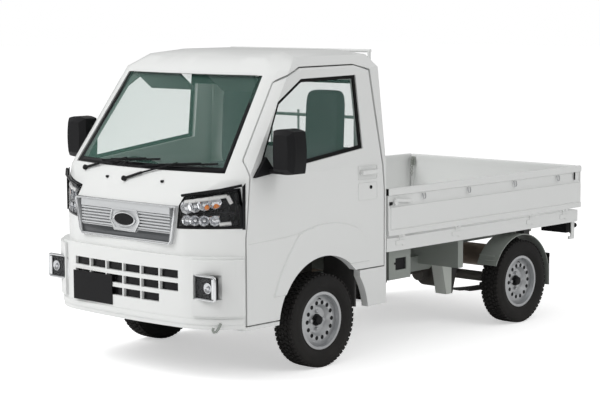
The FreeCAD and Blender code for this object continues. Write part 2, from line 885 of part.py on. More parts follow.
# Bumper: a bowed shell with three rows of openings and two lamp pockets
bumper_shell = prism("BumperShell", "XY_Plane", [
    ("bumper_half", "-bumper_front + bumper_bow"),
    ("(bumper_half + cab_half) / 2 + bumper_bow", "(-bumper_front + bumper_side_y) / 2 - bumper_bow", "arc"),
    ("cab_half", "bumper_side_y"),
    ("cab_half - cab_wall", "bumper_side_y"),
    ("(bumper_half + cab_half) / 2 - bumper_bow", "(-bumper_front + bumper_side_y) / 2 + bumper_wall / 2",
     "arc"),
    ("bumper_half - bumper_bow", "-bumper_front + bumper_bow + bumper_wall"),
    ("0", "-bumper_front + bumper_wall", "arc"),
    ("-bumper_half + bumper_bow", "-bumper_front + bumper_bow + bumper_wall"),
    ("-(bumper_half + cab_half) / 2 + bumper_bow", "(-bumper_front + bumper_side_y) / 2 + bumper_wall / 2",
     "arc"),
    ("-cab_half + cab_wall", "bumper_side_y"),
    ("-cab_half", "bumper_side_y"),
    ("-(bumper_half + cab_half) / 2 - bumper_bow", "(-bumper_front + bumper_side_y) / 2 - bumper_bow", "arc"),
    ("-bumper_half", "-bumper_front + bumper_bow"),
    ("0", "-bumper_front", "arc"),
], "bumper_top_z - bumper_low_z", "bumper_low_z")
fog_pockets = [
    block(f"FogPocket{side}", (f"fog_x * {sign}", "-bumper_front + bumper_wall", "fog_z - fog_half_high"),
          ("fog_half_wide * 2", "bumper_wall * 4", "fog_half_high * 2"))
    for side, sign in SIDES.items()
]
node("front_bumper", minus("FrontBumper", bumper_shell, group("BumperCuts", lower_cells() + fog_pockets)))
fogs = []
for side, sign in SIDES.items():
    face = box(f"FogFace{side}", (f"fog_x * {sign} - fog_half_wide + seat_gap", "fog_face_y",
               "fog_z - fog_half_high + seat_gap"), ("(fog_half_wide - seat_gap) * 2", "fog_plate",
               "(fog_half_high - seat_gap) * 2"))
    lens = rod(f"FogLens{side}", (f"fog_x * {sign}", "fog_face_y - fog_plate", "fog_z"), "y",
               "fog_radius", "fog_plate * 4")
    fogs.append(join(f"FogLamp{side}", [face, lens]))
node("fog_lamps", group("FogLamps", fogs))
node("number_plate_front", box("NumberPlate", ("plate_x - plate_wide / 2", "-half_length",
     "plate_z - plate_high / 2"), ("plate_wide", "plate_thick", "plate_high")))


def gate_body(name, length, start):
    """A pressed gate's section, rolled at its top and boxed at its foot, run along its length."""
    points = [
        ("-gate_thick", "gate_low_z"),
        ("0", "gate_low_z"),
        ("0", "gate_low_z + gate_foot_high"),
        ("-gate_crease", "gate_low_z + gate_foot_high + gate_crease"),
        ("-gate_crease", "gate_top_z - gate_rail_high - gate_recess_high - gate_shoulder"),
        ("-gate_step", "gate_top_z - gate_rail_high - gate_recess_high"),
        ("-gate_step", "gate_top_z - gate_rail_high - gate_step / 2"),
        ("0", "gate_top_z - gate_rail_high"),
        ("0", "gate_top_z - gate_thick / 2"),
        ("-gate_thick / 2", "gate_top_z", "arc"),
        ("-gate_thick", "gate_top_z - gate_thick / 2"),
        ("-gate_thick", "gate_top_z - gate_rail_high"),
        ("-gate_step - gate_skin", "gate_top_z - gate_rail_high - gate_step"),
        ("-gate_step - gate_skin", "gate_low_z + gate_foot_high + gate_step"),
        ("-gate_thick", "gate_low_z + gate_foot_high"),
    ]
    return prism(name, "XZ_Plane", points, length, start)


# Bed floor with turned-down sills, and its front board
deck = prism("Deck", "XZ_Plane", [
    ("-sill_half", "deck_z - sill_high"),
    ("-sill_half + sill_thick", "deck_z - sill_high"),
    ("-sill_half + sill_thick", "deck_z - deck_thick"),
    ("sill_half - sill_thick", "deck_z - deck_thick"),
    ("sill_half - sill_thick", "deck_z - sill_high"),
    ("sill_half", "deck_z - sill_high"),
    ("sill_half", "deck_z + sill_lip"),
    ("sill_half - sill_thick / 2", "deck_z + sill_lip"),
    ("sill_half - sill_thick", "deck_z"),
    ("-sill_half + sill_thick", "deck_z"),
    ("-sill_half + sill_thick / 2", "deck_z + sill_lip"),
    ("-sill_half", "deck_z + sill_lip"),
], "half_length - sill_rear_inset - bed_front_y", "-half_length + sill_rear_inset")
rear_sill = box("RearSill", ("-sill_half", "half_length - sill_rear_inset - sill_thick",
                             "deck_z - sill_high"),
                ("sill_half * 2", "sill_thick", "sill_high + sill_lip"))
beams = [
    block(f"DeckBeam{number}", ("0", f"bed_front_y + beam_first + beam_pitch * {number}",
                                "deck_z - deck_thick - beam_high"),
          ("(sill_half - sill_thick) * 2", "beam_wide", "beam_high"))
    for number in range(int(value("beam_count")))
]
front_sill = box("FrontSill", ("-sill_half + sill_thick / 2", "bed_front_y", "deck_z - deck_thick / 2"),
                 ("sill_half * 2 - sill_thick", "board_thick * 2", "deck_thick / 2 + sill_lip"))
node("bed_floor", join("BedFloor", [deck, front_sill, rear_sill] + beams))
board = box("FrontBoard", ("-half_width + gate_thick + run_gap", "bed_front_y", "deck_z + sill_lip"),
            ("(half_width - gate_thick - run_gap) * 2", "board_thick", "gate_top_z - deck_z - sill_lip"))
board_ribs = [
    block(f"BoardRib{number}", (f"sill_half / 3 * ({number} - 1.5)", "bed_front_y + board_thick",
                                "deck_z + sill_lip"),
          ("beam_wide", "board_thick", "gate_top_z - deck_z - sill_lip - gate_rail_high"))
    for number in range(4)
]
node("bed_front_board", join("FrontBoardPressed", [board] + board_ribs))

# Guard frame of round tube, with two upright posts bent into the top bar
guard_posts = [
    rod(f"GuardPost{side}", (f"guard_half * {sign}", "guard_y", "gate_top_z + seat_gap"), "z", "guard_tube",
        "top_height - guard_tube - gate_top_z - seat_gap")
    for side, sign in SIDES.items()
]
guard_bars = [
    rod(f"GuardBar{number}", ("-guard_half - guard_tube", "guard_y", level), "x", "guard_tube",
        "(guard_half + guard_tube) * 2")
    for number, level in enumerate(("top_height - guard_tube", "(top_height + gate_top_z) / 2",
                                    "gate_top_z + guard_tube * 3"))
]
guard_wires = [
    rod(f"GuardUpright{number}", (f"guard_half / 2.5 * ({number} - 1)", "guard_y",
                                  "gate_top_z + guard_tube * 3"),
        "z", "guard_tube * 0.7", "(top_height - gate_top_z) / 2")
    for number in range(3)
]
guard_feet = [
    block(f"GuardFoot{side}", (f"guard_half * {sign}", "guard_y", "gate_top_z"),
          ("guard_tube * 5", "board_thick * 1.5", "guard_tube"))
    for side, sign in SIDES.items()
]
node("guard_frame", join("GuardFrame", guard_posts + guard_bars + guard_wires + guard_feet))

# Gates: the panels, then knuckles about each hinge line
side_spots = ("gate_hinge_first", "gate_hinge_second", "gate_hinge_third", "gate_hinge_fourth")
tail_spots = ("-tail_hinge_x", "0", "tail_hinge_x")


def knuckles(name, spots, axis, line, offsets):
    """Short round knuckles on a hinge line, offset from each hinge's middle."""
    pieces = []
    for number, spot in enumerate(spots):
        for order, offset in enumerate(offsets):
            along = f"{spot} + ({offset})"
            start = (line, along, "hinge_z") if axis == "y" else (along, line, "hinge_z")
            pieces.append(rod(f"{name}Knuckle{number}{order}", start, axis, "hinge_radius",
                              "hinge_half - seat_gap"))
    return pieces


def side_gate(side):
    """A side gate's panel with its end caps, hinge knuckles and the straps that carry them."""
    title = side.capitalize()
    panel = gate_body("GatePanel" + title, "half_length - bed_front_y", "-half_length")
    slide = doc.addObject("Part::Compound", "GatePlaced" + title)
    slide.Links = [panel]
    seat(slide, ("half_width", "0", "0"))
    caps = [
        box(f"GateCap{title}{number}", ("half_width - gate_thick", along, "gate_low_z"),
            ("gate_thick - gate_step / 2", "gate_cap_long", "gate_top_z - gate_low_z - gate_thick / 2"))
        for number, along in enumerate(("bed_front_y", "half_length - gate_cap_long"))
    ]
    straps = []
    for number, spot in enumerate(side_spots):
        for order, offset in enumerate(("-hinge_half * 1.5", "hinge_half / 2")):
            straps.append(box(f"GateStrap{title}{number}{order}", (
                "half_width - hinge_inset - hinge_plate / 2", f"{spot} + ({offset})", "hinge_z"),
                ("hinge_plate", "hinge_half - seat_gap", "gate_low_z - hinge_z + gate_step")))
    round_parts = knuckles("Gate" + title, side_spots, "y", "half_width - hinge_inset",
                           ("-hinge_half * 1.5", "hinge_half / 2"))
    whole = join("SideGate" + title, [slide] + caps + straps + round_parts)
    return whole if SIDES[side] > 0 else mirrored("SideGateMirrored", whole)


for side in SIDES:
    node(f"gate_{side}", side_gate(side))

tail_panel = gate_body("TailPanel", "(sill_half - gate_thick) * 2", "-(sill_half - gate_thick)")
tail_placed = doc.addObject("Part::Compound", "TailPlaced")
tail_placed.Links = [tail_panel]
tail_placed.Placement = Placement(Vector(), Rotation(Vector(0, 0, 1), 90))
seat(tail_placed, ("0", "half_length", "0"))
tail_straps = []
for number, spot in enumerate(tail_spots):
    for order, offset in enumerate(("-hinge_half * 1.5", "hinge_half / 2")):
        tail_straps.append(box(f"TailStrap{number}{order}", (
            f"{spot} + ({offset})", "half_length - hinge_inset - hinge_plate / 2", "hinge_z"),
            ("hinge_half - seat_gap", "hinge_plate", "gate_low_z - hinge_z + gate_step")))
tail_round = knuckles("Tail", tail_spots, "x", "half_length - hinge_inset",
                      ("-hinge_half * 1.5", "hinge_half / 2"))
tail_caps = [
    box(f"TailCap{side}", (f"(sill_half - gate_thick) * {sign} - gate_cap_long * {max(sign, 0)}",
        "half_length - gate_thick", "gate_low_z"),
        ("gate_cap_long", "gate_thick - gate_step / 2", "gate_top_z - gate_low_z - gate_thick / 2"))
    for side, sign in SIDES.items()
]
node("tailgate", join("Tailgate", [tail_placed] + tail_straps + tail_round + tail_caps))

# Sill knuckles between the gates' own, each with its plate down onto the sill
sill_parts = []
for side, sign in SIDES.items():
    line = f"(half_width - hinge_inset) * {sign}"
    for number, piece in enumerate(knuckles("Sill" + side, side_spots, "y", line, ("-hinge_half / 2",))):
        spot = side_spots[number]
        plate = box(f"SillPlate{side}{number}", (
            f"sill_half * {sign} - hinge_plate * {max(-sign, 0)}", f"{spot} - hinge_half / 2",
            "hinge_z - sill_high / 2"), ("hinge_plate", "hinge_half - seat_gap",
                                         "sill_high / 2 + hinge_radius"))
        web = box(f"SillWeb{side}{number}", (
            f"sill_half * {sign} - (half_width - hinge_inset - sill_half) * {max(-sign, 0)}",
            f"{spot} - hinge_half / 2", "hinge_z - hinge_plate / 2"),
            ("half_width - hinge_inset - sill_half", "hinge_half - seat_gap", "hinge_plate"))
        sill_parts.append(join(f"SillHinge{side}{number}", [piece, plate, web]))
for number, piece in enumerate(knuckles("SillTail", tail_spots, "x", "half_length - hinge_inset",
                                        ("-hinge_half / 2",))):
    spot = tail_spots[number]
    plate = box(f"TailPlate{number}", (f"{spot} - hinge_half / 2", "half_length - sill_rear_inset",
                "hinge_z - sill_high / 2"), ("hinge_half - seat_gap", "hinge_plate",
                "sill_high / 2 + hinge_radius"))
    web = box(f"TailWeb{number}", (f"{spot} - hinge_half / 2", "half_length - sill_rear_inset",
              "hinge_z - hinge_plate / 2"), ("hinge_half - seat_gap", "sill_rear_inset - hinge_inset",
              "hinge_plate"))
    sill_parts.append(join(f"TailHinge{number}", [piece, plate, web]))
node("bed_hinges", group("BedHinges", sill_parts))


def revolved(name, points):
    """A body turned about the x axis from an outline of x and radius."""
    body = body_of(name)
    sketch = outline(body, name + "Profile", "XY_Plane", points)
    turn = body.newObject("PartDesign::Revolution", name + "Turn")
    turn.Profile = sketch
    turn.ReferenceAxis = (sketch, ["H_Axis"])
    turn.Angle = 360
    return body


def circles(body, name, count, radius, circle, offset):
    """A sketch of round holes or bosses about the x axis."""
    sketch = body.newObject("Sketcher::SketchObject", name)
    sketch.AttachmentSupport = (plane_of(body, "YZ_Plane"), [""])
    sketch.MapMode = "FlatFace"
    bind(sketch, "AttachmentOffset.Base.z", offset)
    for number in range(count):
        angle = f"(360 deg * {number} / {count})"
        texts = (f"{circle} * cos({angle})", f"{circle} * sin({angle})")
        centre = Vector(value(texts[0]), value(texts[1]), 0)
        sketch.addGeometry(Part.Circle(centre, Vector(0, 0, 1), value(radius)), False)
        for kind, text in zip(("DistanceX", "DistanceY"), texts):
            link = sketch.addConstraint(Sketcher.Constraint(kind, -1, 1, number, 3, value(text)))
            sketch.setExpression(f"Constraints[{link}]", bound(text))
        link = sketch.addConstraint(Sketcher.Constraint("Radius", number, value(radius)))
        sketch.setExpression(f"Constraints[{link}]", bound(radius))
    return sketch


def wheel_rim(title):
    """A pressed steel wheel: barrel, lips, dished disc, a ring of round vents and four nuts."""
    body = revolved("Rim" + title, [
        ("-rim_width / 2", "rim_radius + rim_lip"),
        ("-rim_width / 2 + rim_wall", "rim_radius + rim_lip"),
        ("-rim_width / 2 + rim_wall", "rim_radius"),
        ("rim_width / 2 - rim_wall", "rim_radius"),
        ("rim_width / 2 - rim_wall", "rim_radius + rim_lip"),
        ("rim_width / 2", "rim_radius + rim_lip"),
        ("rim_width / 2", "rim_radius - rim_wall"),
        ("disc_crest_x - disc_fall", "rim_radius - rim_wall"),
        ("disc_crest_x - disc_fall / 3", "disc_radius"),
        ("disc_crest_x", "vent_circle + vent_radius + vent_land"),
        ("disc_crest_x", "vent_circle - vent_radius - vent_land"),
        ("disc_crest_x - disc_dish", "disc_recess"),
        ("disc_crest_x - disc_dish", "hub_bore"),
        ("disc_crest_x - disc_dish - rim_wall", "hub_bore"),
        ("disc_crest_x - disc_dish - rim_wall", "disc_recess + rim_wall / 2"),
        ("disc_crest_x - rim_wall", "vent_circle - vent_radius - vent_land / 2"),
        ("disc_crest_x - rim_wall", "vent_circle + vent_radius + vent_land / 2"),
        ("disc_crest_x - disc_fall / 3 - rim_wall", "disc_radius - rim_wall / 2"),
        ("disc_crest_x - disc_fall - rim_wall", "rim_radius - rim_wall"),
        ("-rim_width / 2", "rim_radius - rim_wall"),
    ])
    vents = circles(body, "Vents" + title, int(value("vent_count")), "vent_radius", "vent_circle", "0")
    holes = body.newObject("PartDesign::Pocket", "VentHoles" + title)
    holes.Profile = vents
    holes.Midplane = True
    bind(holes, "Length", "rim_width * 2")
    nuts = circles(body, "Nuts" + title, int(value("nut_count")), "nut_radius", "nut_circle",
                   "disc_crest_x - disc_dish")
    bosses = pad(body, nuts, "nut_high")
    body.Tip = bosses
    return body


def tyre(title):
    """A tyre with rounded shoulders that sits between the rim's lips."""
    edge = "rim_width / 2 - rim_wall - seat_gap"
    half = [
        (edge, "rim_radius + seat_gap"),
        (edge, "rim_radius + rim_lip + seat_gap * 2"),
        ("tyre_width / 2 - tyre_bulge", "rim_radius + rim_lip * 2"),
        ("tyre_width / 2", "(rim_radius + tyre_radius) / 2"),
        ("tyre_width / 2 - tyre_bulge / 2", "tyre_radius - tyre_shoulder"),
        ("tyre_width / 2 - tyre_shoulder", "tyre_radius"),
    ]
    other = [(f"-({point[0]})",) + tuple(point[1:]) for point in reversed(half)]
    return revolved("Tyre" + title, half + other)


AXLES = {"front": "front_axle_y", "rear": "rear_axle_y"}
for end, along in AXLES.items():
    for side, sign in SIDES.items():
        title = end.capitalize() + side.capitalize()
        for label, item in (("wheel", wheel_rim(title)), ("tyre", tyre(title))):
            if sign < 0:
                item.Placement = Placement(Vector(), Rotation(Vector(0, 0, 1), 180))
            seat(item, (f"wheel_x * {sign}", along, "tyre_radius"))
            node(f"{label}_{end}_{side}", item)

# Knuckles: a stub with its drum and the king pin between the two arms
disc_back = "wheel_x + disc_crest_x - disc_dish - rim_wall"
for side, sign in SIDES.items():
    title = side.capitalize()
    stub = rod("KnuckleStub" + title, ("king_x - king_radius", "front_axle_y", "tyre_radius"), "x",
               "hub_radius", f"{disc_back} - seat_gap - king_x + king_radius")
    cap = rod("KnuckleCap" + title, ("king_x", "front_axle_y", "tyre_radius"), "x", "hub_bore - hub_play",
              f"{disc_back} + rim_wall * 2 - king_x")
    drum = rod("KnuckleDrum" + title, ("king_x + king_radius", "front_axle_y", "tyre_radius"), "x",
               "drum_radius", "drum_wide")
    pin = rod("KnucklePin" + title, ("king_x", "front_axle_y", "arm_low_z + arm_thick + seat_gap"), "z",
              "king_radius * 0.7", "arm_high_z - arm_low_z - arm_thick - seat_gap * 2")
    knuckle = join("Knuckle" + title, [stub, cap, drum, pin])
    node(f"knuckle_{side}", knuckle if sign > 0 else mirrored("KnuckleMirrored", knuckle))

# Frame: two stepped rails and the members that cross between them
rail = prism("RailLeft", "YZ_Plane", [
    ("rail_front_y", "rail_nose_z"),
    ("riser_y + floor_thick * 2", "rail_nose_z"),
    ("riser_y + rail_high * 2", "rail_low_z"),
    ("rail_kick_y", "rail_low_z"),
    ("rail_kick_end_y", "rail_rear_z"),
    ("rail_rear_y", "rail_rear_z"),
    ("rail_rear_y", "deck_z - deck_thick - beam_high"),
    ("rail_kick_end_y", "deck_z - deck_thick - beam_high"),
    ("rail_kick_y", "rail_low_z + rail_high"),
    ("riser_y + rail_high", "rail_low_z + rail_high"),
    ("riser_y + floor_thick", "foot_z - floor_thick"),
    ("rail_front_y", "foot_z - floor_thick"),
], "rail_wide", "rail_x - rail_wide / 2")
members = [
    block(f"CrossMember{number}", ("0", along, low), ("rail_x * 2 - rail_wide / 2", "cross_thick", high))
    for number, (along, low, high) in enumerate((
        ("rail_front_y + cross_thick / 2", "rail_nose_z", "foot_z - floor_thick - rail_nose_z"),
        ("engine_y + engine_long / 2 + cross_thick", "rail_low_z", "cross_thick"),
        ("rail_kick_y - cross_thick", "rail_low_z", "cross_thick"),
        ("rear_axle_y", "rail_rear_z", "cross_thick"),
        ("rail_rear_y - cross_thick / 2", "rail_rear_z", "cross_thick"),
    ))
]
outriggers = [
    block(f"Outrigger{number}", ("0", f"bed_front_y + beam_first + beam_pitch * {number}",
                                 "rail_low_z + rail_high / 2"),
          (reach, "cross_thick", "deck_z - deck_thick - beam_high - rail_low_z - rail_high / 2"))
    for number, reach in ((0, "(tray_x - seat_gap) * 2"), (2, "(sill_half - sill_thick) * 2"))
]
node("frame_rails", join("FrameRails", [rail, mirrored("RailRight", rail)] + members + outriggers))

# Front suspension: upper and lower arms, spring struts and the steering rack
arms = []
for side, sign in SIDES.items():
    inner_x = "rail_x + rail_wide / 2" if sign > 0 else "-king_x - arm_end"
    reach = "king_x + arm_end - rail_x - rail_wide / 2"
    lower = box("LowerArm" + side, (inner_x, "front_axle_y - arm_half", "arm_low_z"),
                (reach, "arm_half * 2", "arm_thick"))
    upper = box("UpperArm" + side, (inner_x, "front_axle_y - arm_half", "arm_high_z"),
                (reach, "arm_half * 2", "arm_thick"))
    post = box("ArmPost" + side, (f"(rail_x + rail_wide / 2) * {sign} - arm_post * {max(-sign, 0)}",
               "front_axle_y - arm_half * 1.5", "arm_low_z"),
               ("arm_post", "arm_half * 3", "rail_low_z + rail_high - arm_low_z"))
    strut = rod("Strut" + side, (f"strut_x * {sign}", "front_axle_y", "arm_high_z"), "z", "strut_radius",
                "seat_deck_z - floor_thick - arm_high_z")
    arms.append(join("FrontArms" + side, [lower, upper, post, strut]))
rack = rod("SteeringRack", ("-rail_x + rail_wide / 2", "front_axle_y - rack_ahead",
                            "rail_low_z - rack_radius"),
           "x", "rack_radius", "rail_x * 2 - rail_wide")
subframe = block("Subframe", ("0", "front_axle_y - rack_ahead", "rail_low_z"),
                 ("rail_x * 2 - rail_wide", "cross_thick * 1.6", "cross_thick"))
node("front_suspension", group("FrontSuspension", arms + [join("RackAndFrame", [rack, subframe])]))

# Rear axle, leaf springs with their hangers, shaft, engine, tank and exhaust
axle_tube = rod("AxleTube", (f"-({disc_back} - seat_gap)", "rear_axle_y", "tyre_radius"), "x", "axle_radius",
                f"({disc_back} - seat_gap) * 2")
diff = rod("DiffHousing", ("-diff_radius * 0.7", "rear_axle_y", "tyre_radius"), "x", "diff_radius",
           "diff_radius * 1.4")
nose = rod("DiffNose", ("0", "rear_axle_y - diff_radius * 1.7", "tyre_radius"), "y", "prop_radius * 1.5",
           "diff_radius")
drums = [
    rod(f"RearDrum{side}", (f"({disc_back} - seat_gap) * {sign} - drum_wide * {max(sign, 0)}", "rear_axle_y",
        "tyre_radius"), "x", "drum_radius * 1.2", "drum_wide")
    for side, sign in SIDES.items()
]
caps = [
    rod(f"RearCapPin{side}", (f"wheel_x * {sign} - cap_reach * {max(-sign, 0)}", "rear_axle_y",
                              "tyre_radius"),
        "x", "hub_bore - hub_play", "cap_reach")
    for side, sign in SIDES.items()
]
node("rear_axle", join("RearAxle", [axle_tube, diff, nose] + drums + caps))


def leaf(name, half, drop):
    """One curved spring leaf, its ends raised by its share of the arch."""
    rise = f"(spring_arch * ({half}) * ({half}) / spring_half / spring_half)"
    low = f"spring_low_z - ({drop})"
    return prism(name, "YZ_Plane", [
        (f"rear_axle_y - ({half})", f"{low} + {rise}"),
        ("rear_axle_y", low, "arc"),
        (f"rear_axle_y + {half}", f"{low} + {rise}"),
        (f"rear_axle_y + {half}", f"{low} + {rise} + spring_leaf"),
        ("rear_axle_y", f"{low} + spring_leaf", "arc"),
        (f"rear_axle_y - ({half})", f"{low} + {rise} + spring_leaf"),
    ], "spring_wide", "spring_x - spring_wide / 2")


leaves = [
    leaf(f"Leaf{number}", f"(spring_half * (1 - {number} / 4))", f"spring_leaf * {number}")
    for number in range(int(value("spring_leaves")))
]
spring_pad = block("SpringPad", ("spring_x", "rear_axle_y", "spring_low_z + spring_leaf"),
                   ("spring_wide", "spring_wide * 2",
                    "tyre_radius - axle_radius - spring_low_z - spring_leaf"))
front_hanger = prism("FrontHanger", "YZ_Plane", [
    ("rear_axle_y - spring_half - hanger_foot / 2", "spring_low_z"),
    ("rear_axle_y - spring_half + hanger_foot / 2", "spring_low_z"),
    ("rear_axle_y - spring_half + hanger_foot * 2", "rail_rear_z"),
    ("rear_axle_y - spring_half - hanger_foot * 1.5", "rail_low_z + rail_high"),
], "spring_x + spring_wide / 2 - rail_x - rail_wide / 2", "rail_x + rail_wide / 2")
shackle = block("RearShackle", ("(spring_x + spring_wide / 2 + rail_x + rail_wide / 2) / 2",
                "rear_axle_y + spring_half - hanger_foot / 2", "spring_low_z + spring_arch"),
                ("spring_x + spring_wide / 2 - rail_x - rail_wide / 2", "hanger_foot",
                 "rail_rear_z + rail_high / 2 - spring_low_z - spring_arch"))
spring = join("SpringLeft", leaves + [spring_pad, front_hanger, shackle])
node("leaf_springs", group("LeafSprings", [spring, mirrored("SpringRight", spring)]))
node("propshaft", rod("Propshaft", ("0", "engine_y + engine_long / 2", "tyre_radius + axle_radius"), "y",
     "prop_radius", "rear_axle_y - diff_radius * 1.7 - engine_y - engine_long / 2"))
node("engine", block("Engine", ("0", "engine_y", "engine_low_z"), ("engine_wide", "engine_long",
                                                                   "engine_high")))
tank_x = "-rail_x - rail_wide / 2 - seat_gap - tank_wide"
tank = box("Tank", (tank_x, "tank_y", "tank_low_z"), ("tank_wide", "tank_long", "tank_high"))
tank_strap = box("TankStrap", (tank_x, "bed_front_y + beam_first + beam_pitch - cross_thick / 2",
                 "tank_low_z + tank_high"), ("tank_wide", "cross_thick",
                 "deck_z - deck_thick - beam_high - tank_low_z - tank_high"))
node("fuel_tank", join("FuelTank", [tank, tank_strap]))
pipe = rod("ExhaustPipe", ("-pipe_x", "engine_y + engine_long / 2", "pipe_z"), "y", "pipe_radius",
           "muffler_y - engine_y - engine_long / 2")
muffler = rod("Muffler", ("-pipe_x - pipe_radius", "muffler_y", "pipe_z"), "x", "muffler_radius",
              "muffler_long")
hook = block("ExhaustHook", ("0", "bed_front_y + beam_first + beam_pitch * (beam_count - 1)", "pipe_z"),
             ("pipe_radius", "pipe_radius", "deck_z - deck_thick - beam_high - seat_gap - pipe_z"))
node("exhaust", join("Exhaust", [pipe, muffler, hook]))

# Panel that holds the battery behind the cab, with its square window
tray = minus("TrayCut", box("TrayOuter", ("tray_x", "tray_y", "tray_z"),
                            ("tray_deep", "tray_long", "tray_high")),
             box("TrayWindow", ("tray_x + tray_wall", "tray_y + tray_long * 0.3", "tray_z + tray_high * 0.3"),
                 ("tray_deep", "tray_long * 0.5", "tray_high * 0.4")))
node("battery_box", tray)

# Mudguards round the rear wheels, with a flap hung behind each
mud = prism("MudLeft", "YZ_Plane", [
    ("rear_axle_y - mud_radius * cos(mud_front_turn * 1 deg)",
     "tyre_radius + mud_radius * sin(mud_front_turn * 1 deg)"),
    ("rear_axle_y", "tyre_radius + mud_radius", "arc"),
    ("rear_axle_y + mud_radius * cos(mud_rear_turn * 1 deg)",
     "tyre_radius + mud_radius * sin(mud_rear_turn * 1 deg)"),
    ("rear_axle_y + (mud_radius - mud_thick) * cos(mud_rear_turn * 1 deg)",
     "tyre_radius + (mud_radius - mud_thick) * sin(mud_rear_turn * 1 deg)"),
    ("rear_axle_y", "tyre_radius + mud_radius - mud_thick", "arc"),
    ("rear_axle_y - (mud_radius - mud_thick) * cos(mud_front_turn * 1 deg)",
     "tyre_radius + (mud_radius - mud_thick) * sin(mud_front_turn * 1 deg)"),
], "mud_wide", "mud_x")
flap = box("FlapLeft", ("mud_x", "rear_axle_y + mud_radius * flap_reach_share - mud_thick / 2", "flap_low_z"),
           ("mud_wide", "mud_thick",
            "tyre_radius + mud_radius * flap_rise_share - flap_low_z + mud_thick / 2"))
mud_stays = [
    box(f"MudStay{number}", ("mud_x", along, "tyre_radius + mud_radius - mud_thick / 2"),
        ("mud_wide / 2", "mud_thick * 3",
         "deck_z - sill_high - tyre_radius - mud_radius + mud_thick / 2 - seat_gap"))
    for number, along in enumerate(("rear_axle_y - mud_thick", "rear_axle_y + mud_thick * 4"))
]
mudguard = join("MudguardLeft", [mud, flap] + mud_stays)
node("mudguards", group("Mudguards", [mudguard, mirrored("MudguardRight", mudguard)]))

# Rear lamps on brackets under the rear sill, with a rubber stop at each corner
lamps = []
for side, sign in SIDES.items():
    housing = block("TailLamp" + side,
                    (f"tail_lamp_x * {sign}", "half_length - sill_rear_inset - tail_deep / 2",
                    "tail_lamp_z - lamp_high / 2"), ("lamp_wide", "tail_deep", "lamp_high"))
    stay = block("TailStay" + side,
                 (f"tail_lamp_x * {sign}", "half_length - sill_rear_inset - tail_deep + hinge_plate * 2",
                 "tail_lamp_z"), ("lamp_wide / 3", "hinge_plate * 2", "deck_z - sill_high - tail_lamp_z"))
    plate = box("CornerPlate" + side, (f"corner_x * {sign} - hinge_plate",
                                       "half_length - sill_rear_inset - tail_deep",
                "tail_lamp_z - lamp_high / 2"), ("hinge_plate * 2", "tail_deep",
                                                 "deck_z - sill_high - tail_lamp_z + lamp_high / 2"))
    lamps.append(join("RearLamp" + side, [housing, stay]))
    lamps.append(plate)
node("rear_lamps", group("RearLamps", lamps))

# Cab floor: foot well, step up over the wheels, seat deck and the walls of the wheel wells
floor = prism("FloorPan", "YZ_Plane", [
    ("nose_y + cab_wall * 2", "foot_z - floor_thick"),
    ("riser_y", "foot_z - floor_thick"),
    ("riser_y", "seat_deck_z - floor_thick"),
    ("cab_rear_y - cab_wall - seat_gap", "seat_deck_z - floor_thick"),
    ("cab_rear_y - cab_wall - seat_gap", "seat_deck_z"),
    ("riser_y - floor_thick", "seat_deck_z"),
    ("riser_y - floor_thick", "foot_z"),
    ("nose_y + cab_wall * 2", "foot_z"),
], "(cab_half - cab_wall - run_gap) * 2", "0", True)
floor_space = cab_form("FloorSpace", "(cab_wall + run_gap)", "roof_wall", "run_gap")
splash = [
    box(f"Splash{side}",
        (f"well_x * {sign} - (cab_half - cab_wall - splash_gap - well_x) * {max(-sign, 0)}",
         "arch_rear_y + run_gap",
        "cab_low_z + run_gap"), ("cab_half - cab_wall - splash_gap - well_x", "floor_thick / 2",
                                 "seat_deck_z - floor_thick - cab_low_z - run_gap"))
    for side, sign in SIDES.items()
]
node("cab_floor", join("CabFloor", [shared("FloorFit", floor, floor_space)] + splash))

# Dashboard across the cab, following its corners
dash = prism("DashProfile", "YZ_Plane", [
    ("nose_y", "dash_low_z"),
    ("dash_face_y - dash_tuck", "dash_low_z"),
    ("dash_face_y", "dash_low_z + dash_tuck * 2"),
    ("dash_face_y", "dash_top_z - dash_tuck / 2"),
    ("dash_face_y - dash_tuck", "dash_top_z", "arc"),
    ("dash_face_y - dash_tuck * 2", "dash_top_z"),
    ("nose_y", "dash_top_z - dash_tuck / 2"),
], "cab_half * 2", "0", True)
dash_width = box("DashWidth", ("-cab_half + cab_wall + run_gap", "-half_length", "dash_low_z"),
                 ("(cab_half - cab_wall - run_gap) * 2", "half_length", "dash_top_z"))
dash_space = shared("DashSpace", cab_form("DashForm", "(cab_wall + seat_gap)", "roof_wall", "0"), dash_width)
node("dashboard", shared("Dashboard", dash, dash_space))

# Steering wheel on its leaning column
lean = Rotation(Vector(1, 0, 0), -value("column_lean"))


def along_column(item, distance):
    """Set an object at a distance up the column's axis, turned to its lean."""
    item.Placement = Placement(Vector(), lean)
    bind(item, "Placement.Base.x", "column_x")
    bind(item, "Placement.Base.y", f"column_y + ({distance}) * sin(column_lean * 1 deg)")
    bind(item, "Placement.Base.z", f"column_z + ({distance}) * cos(column_lean * 1 deg)")
    return item


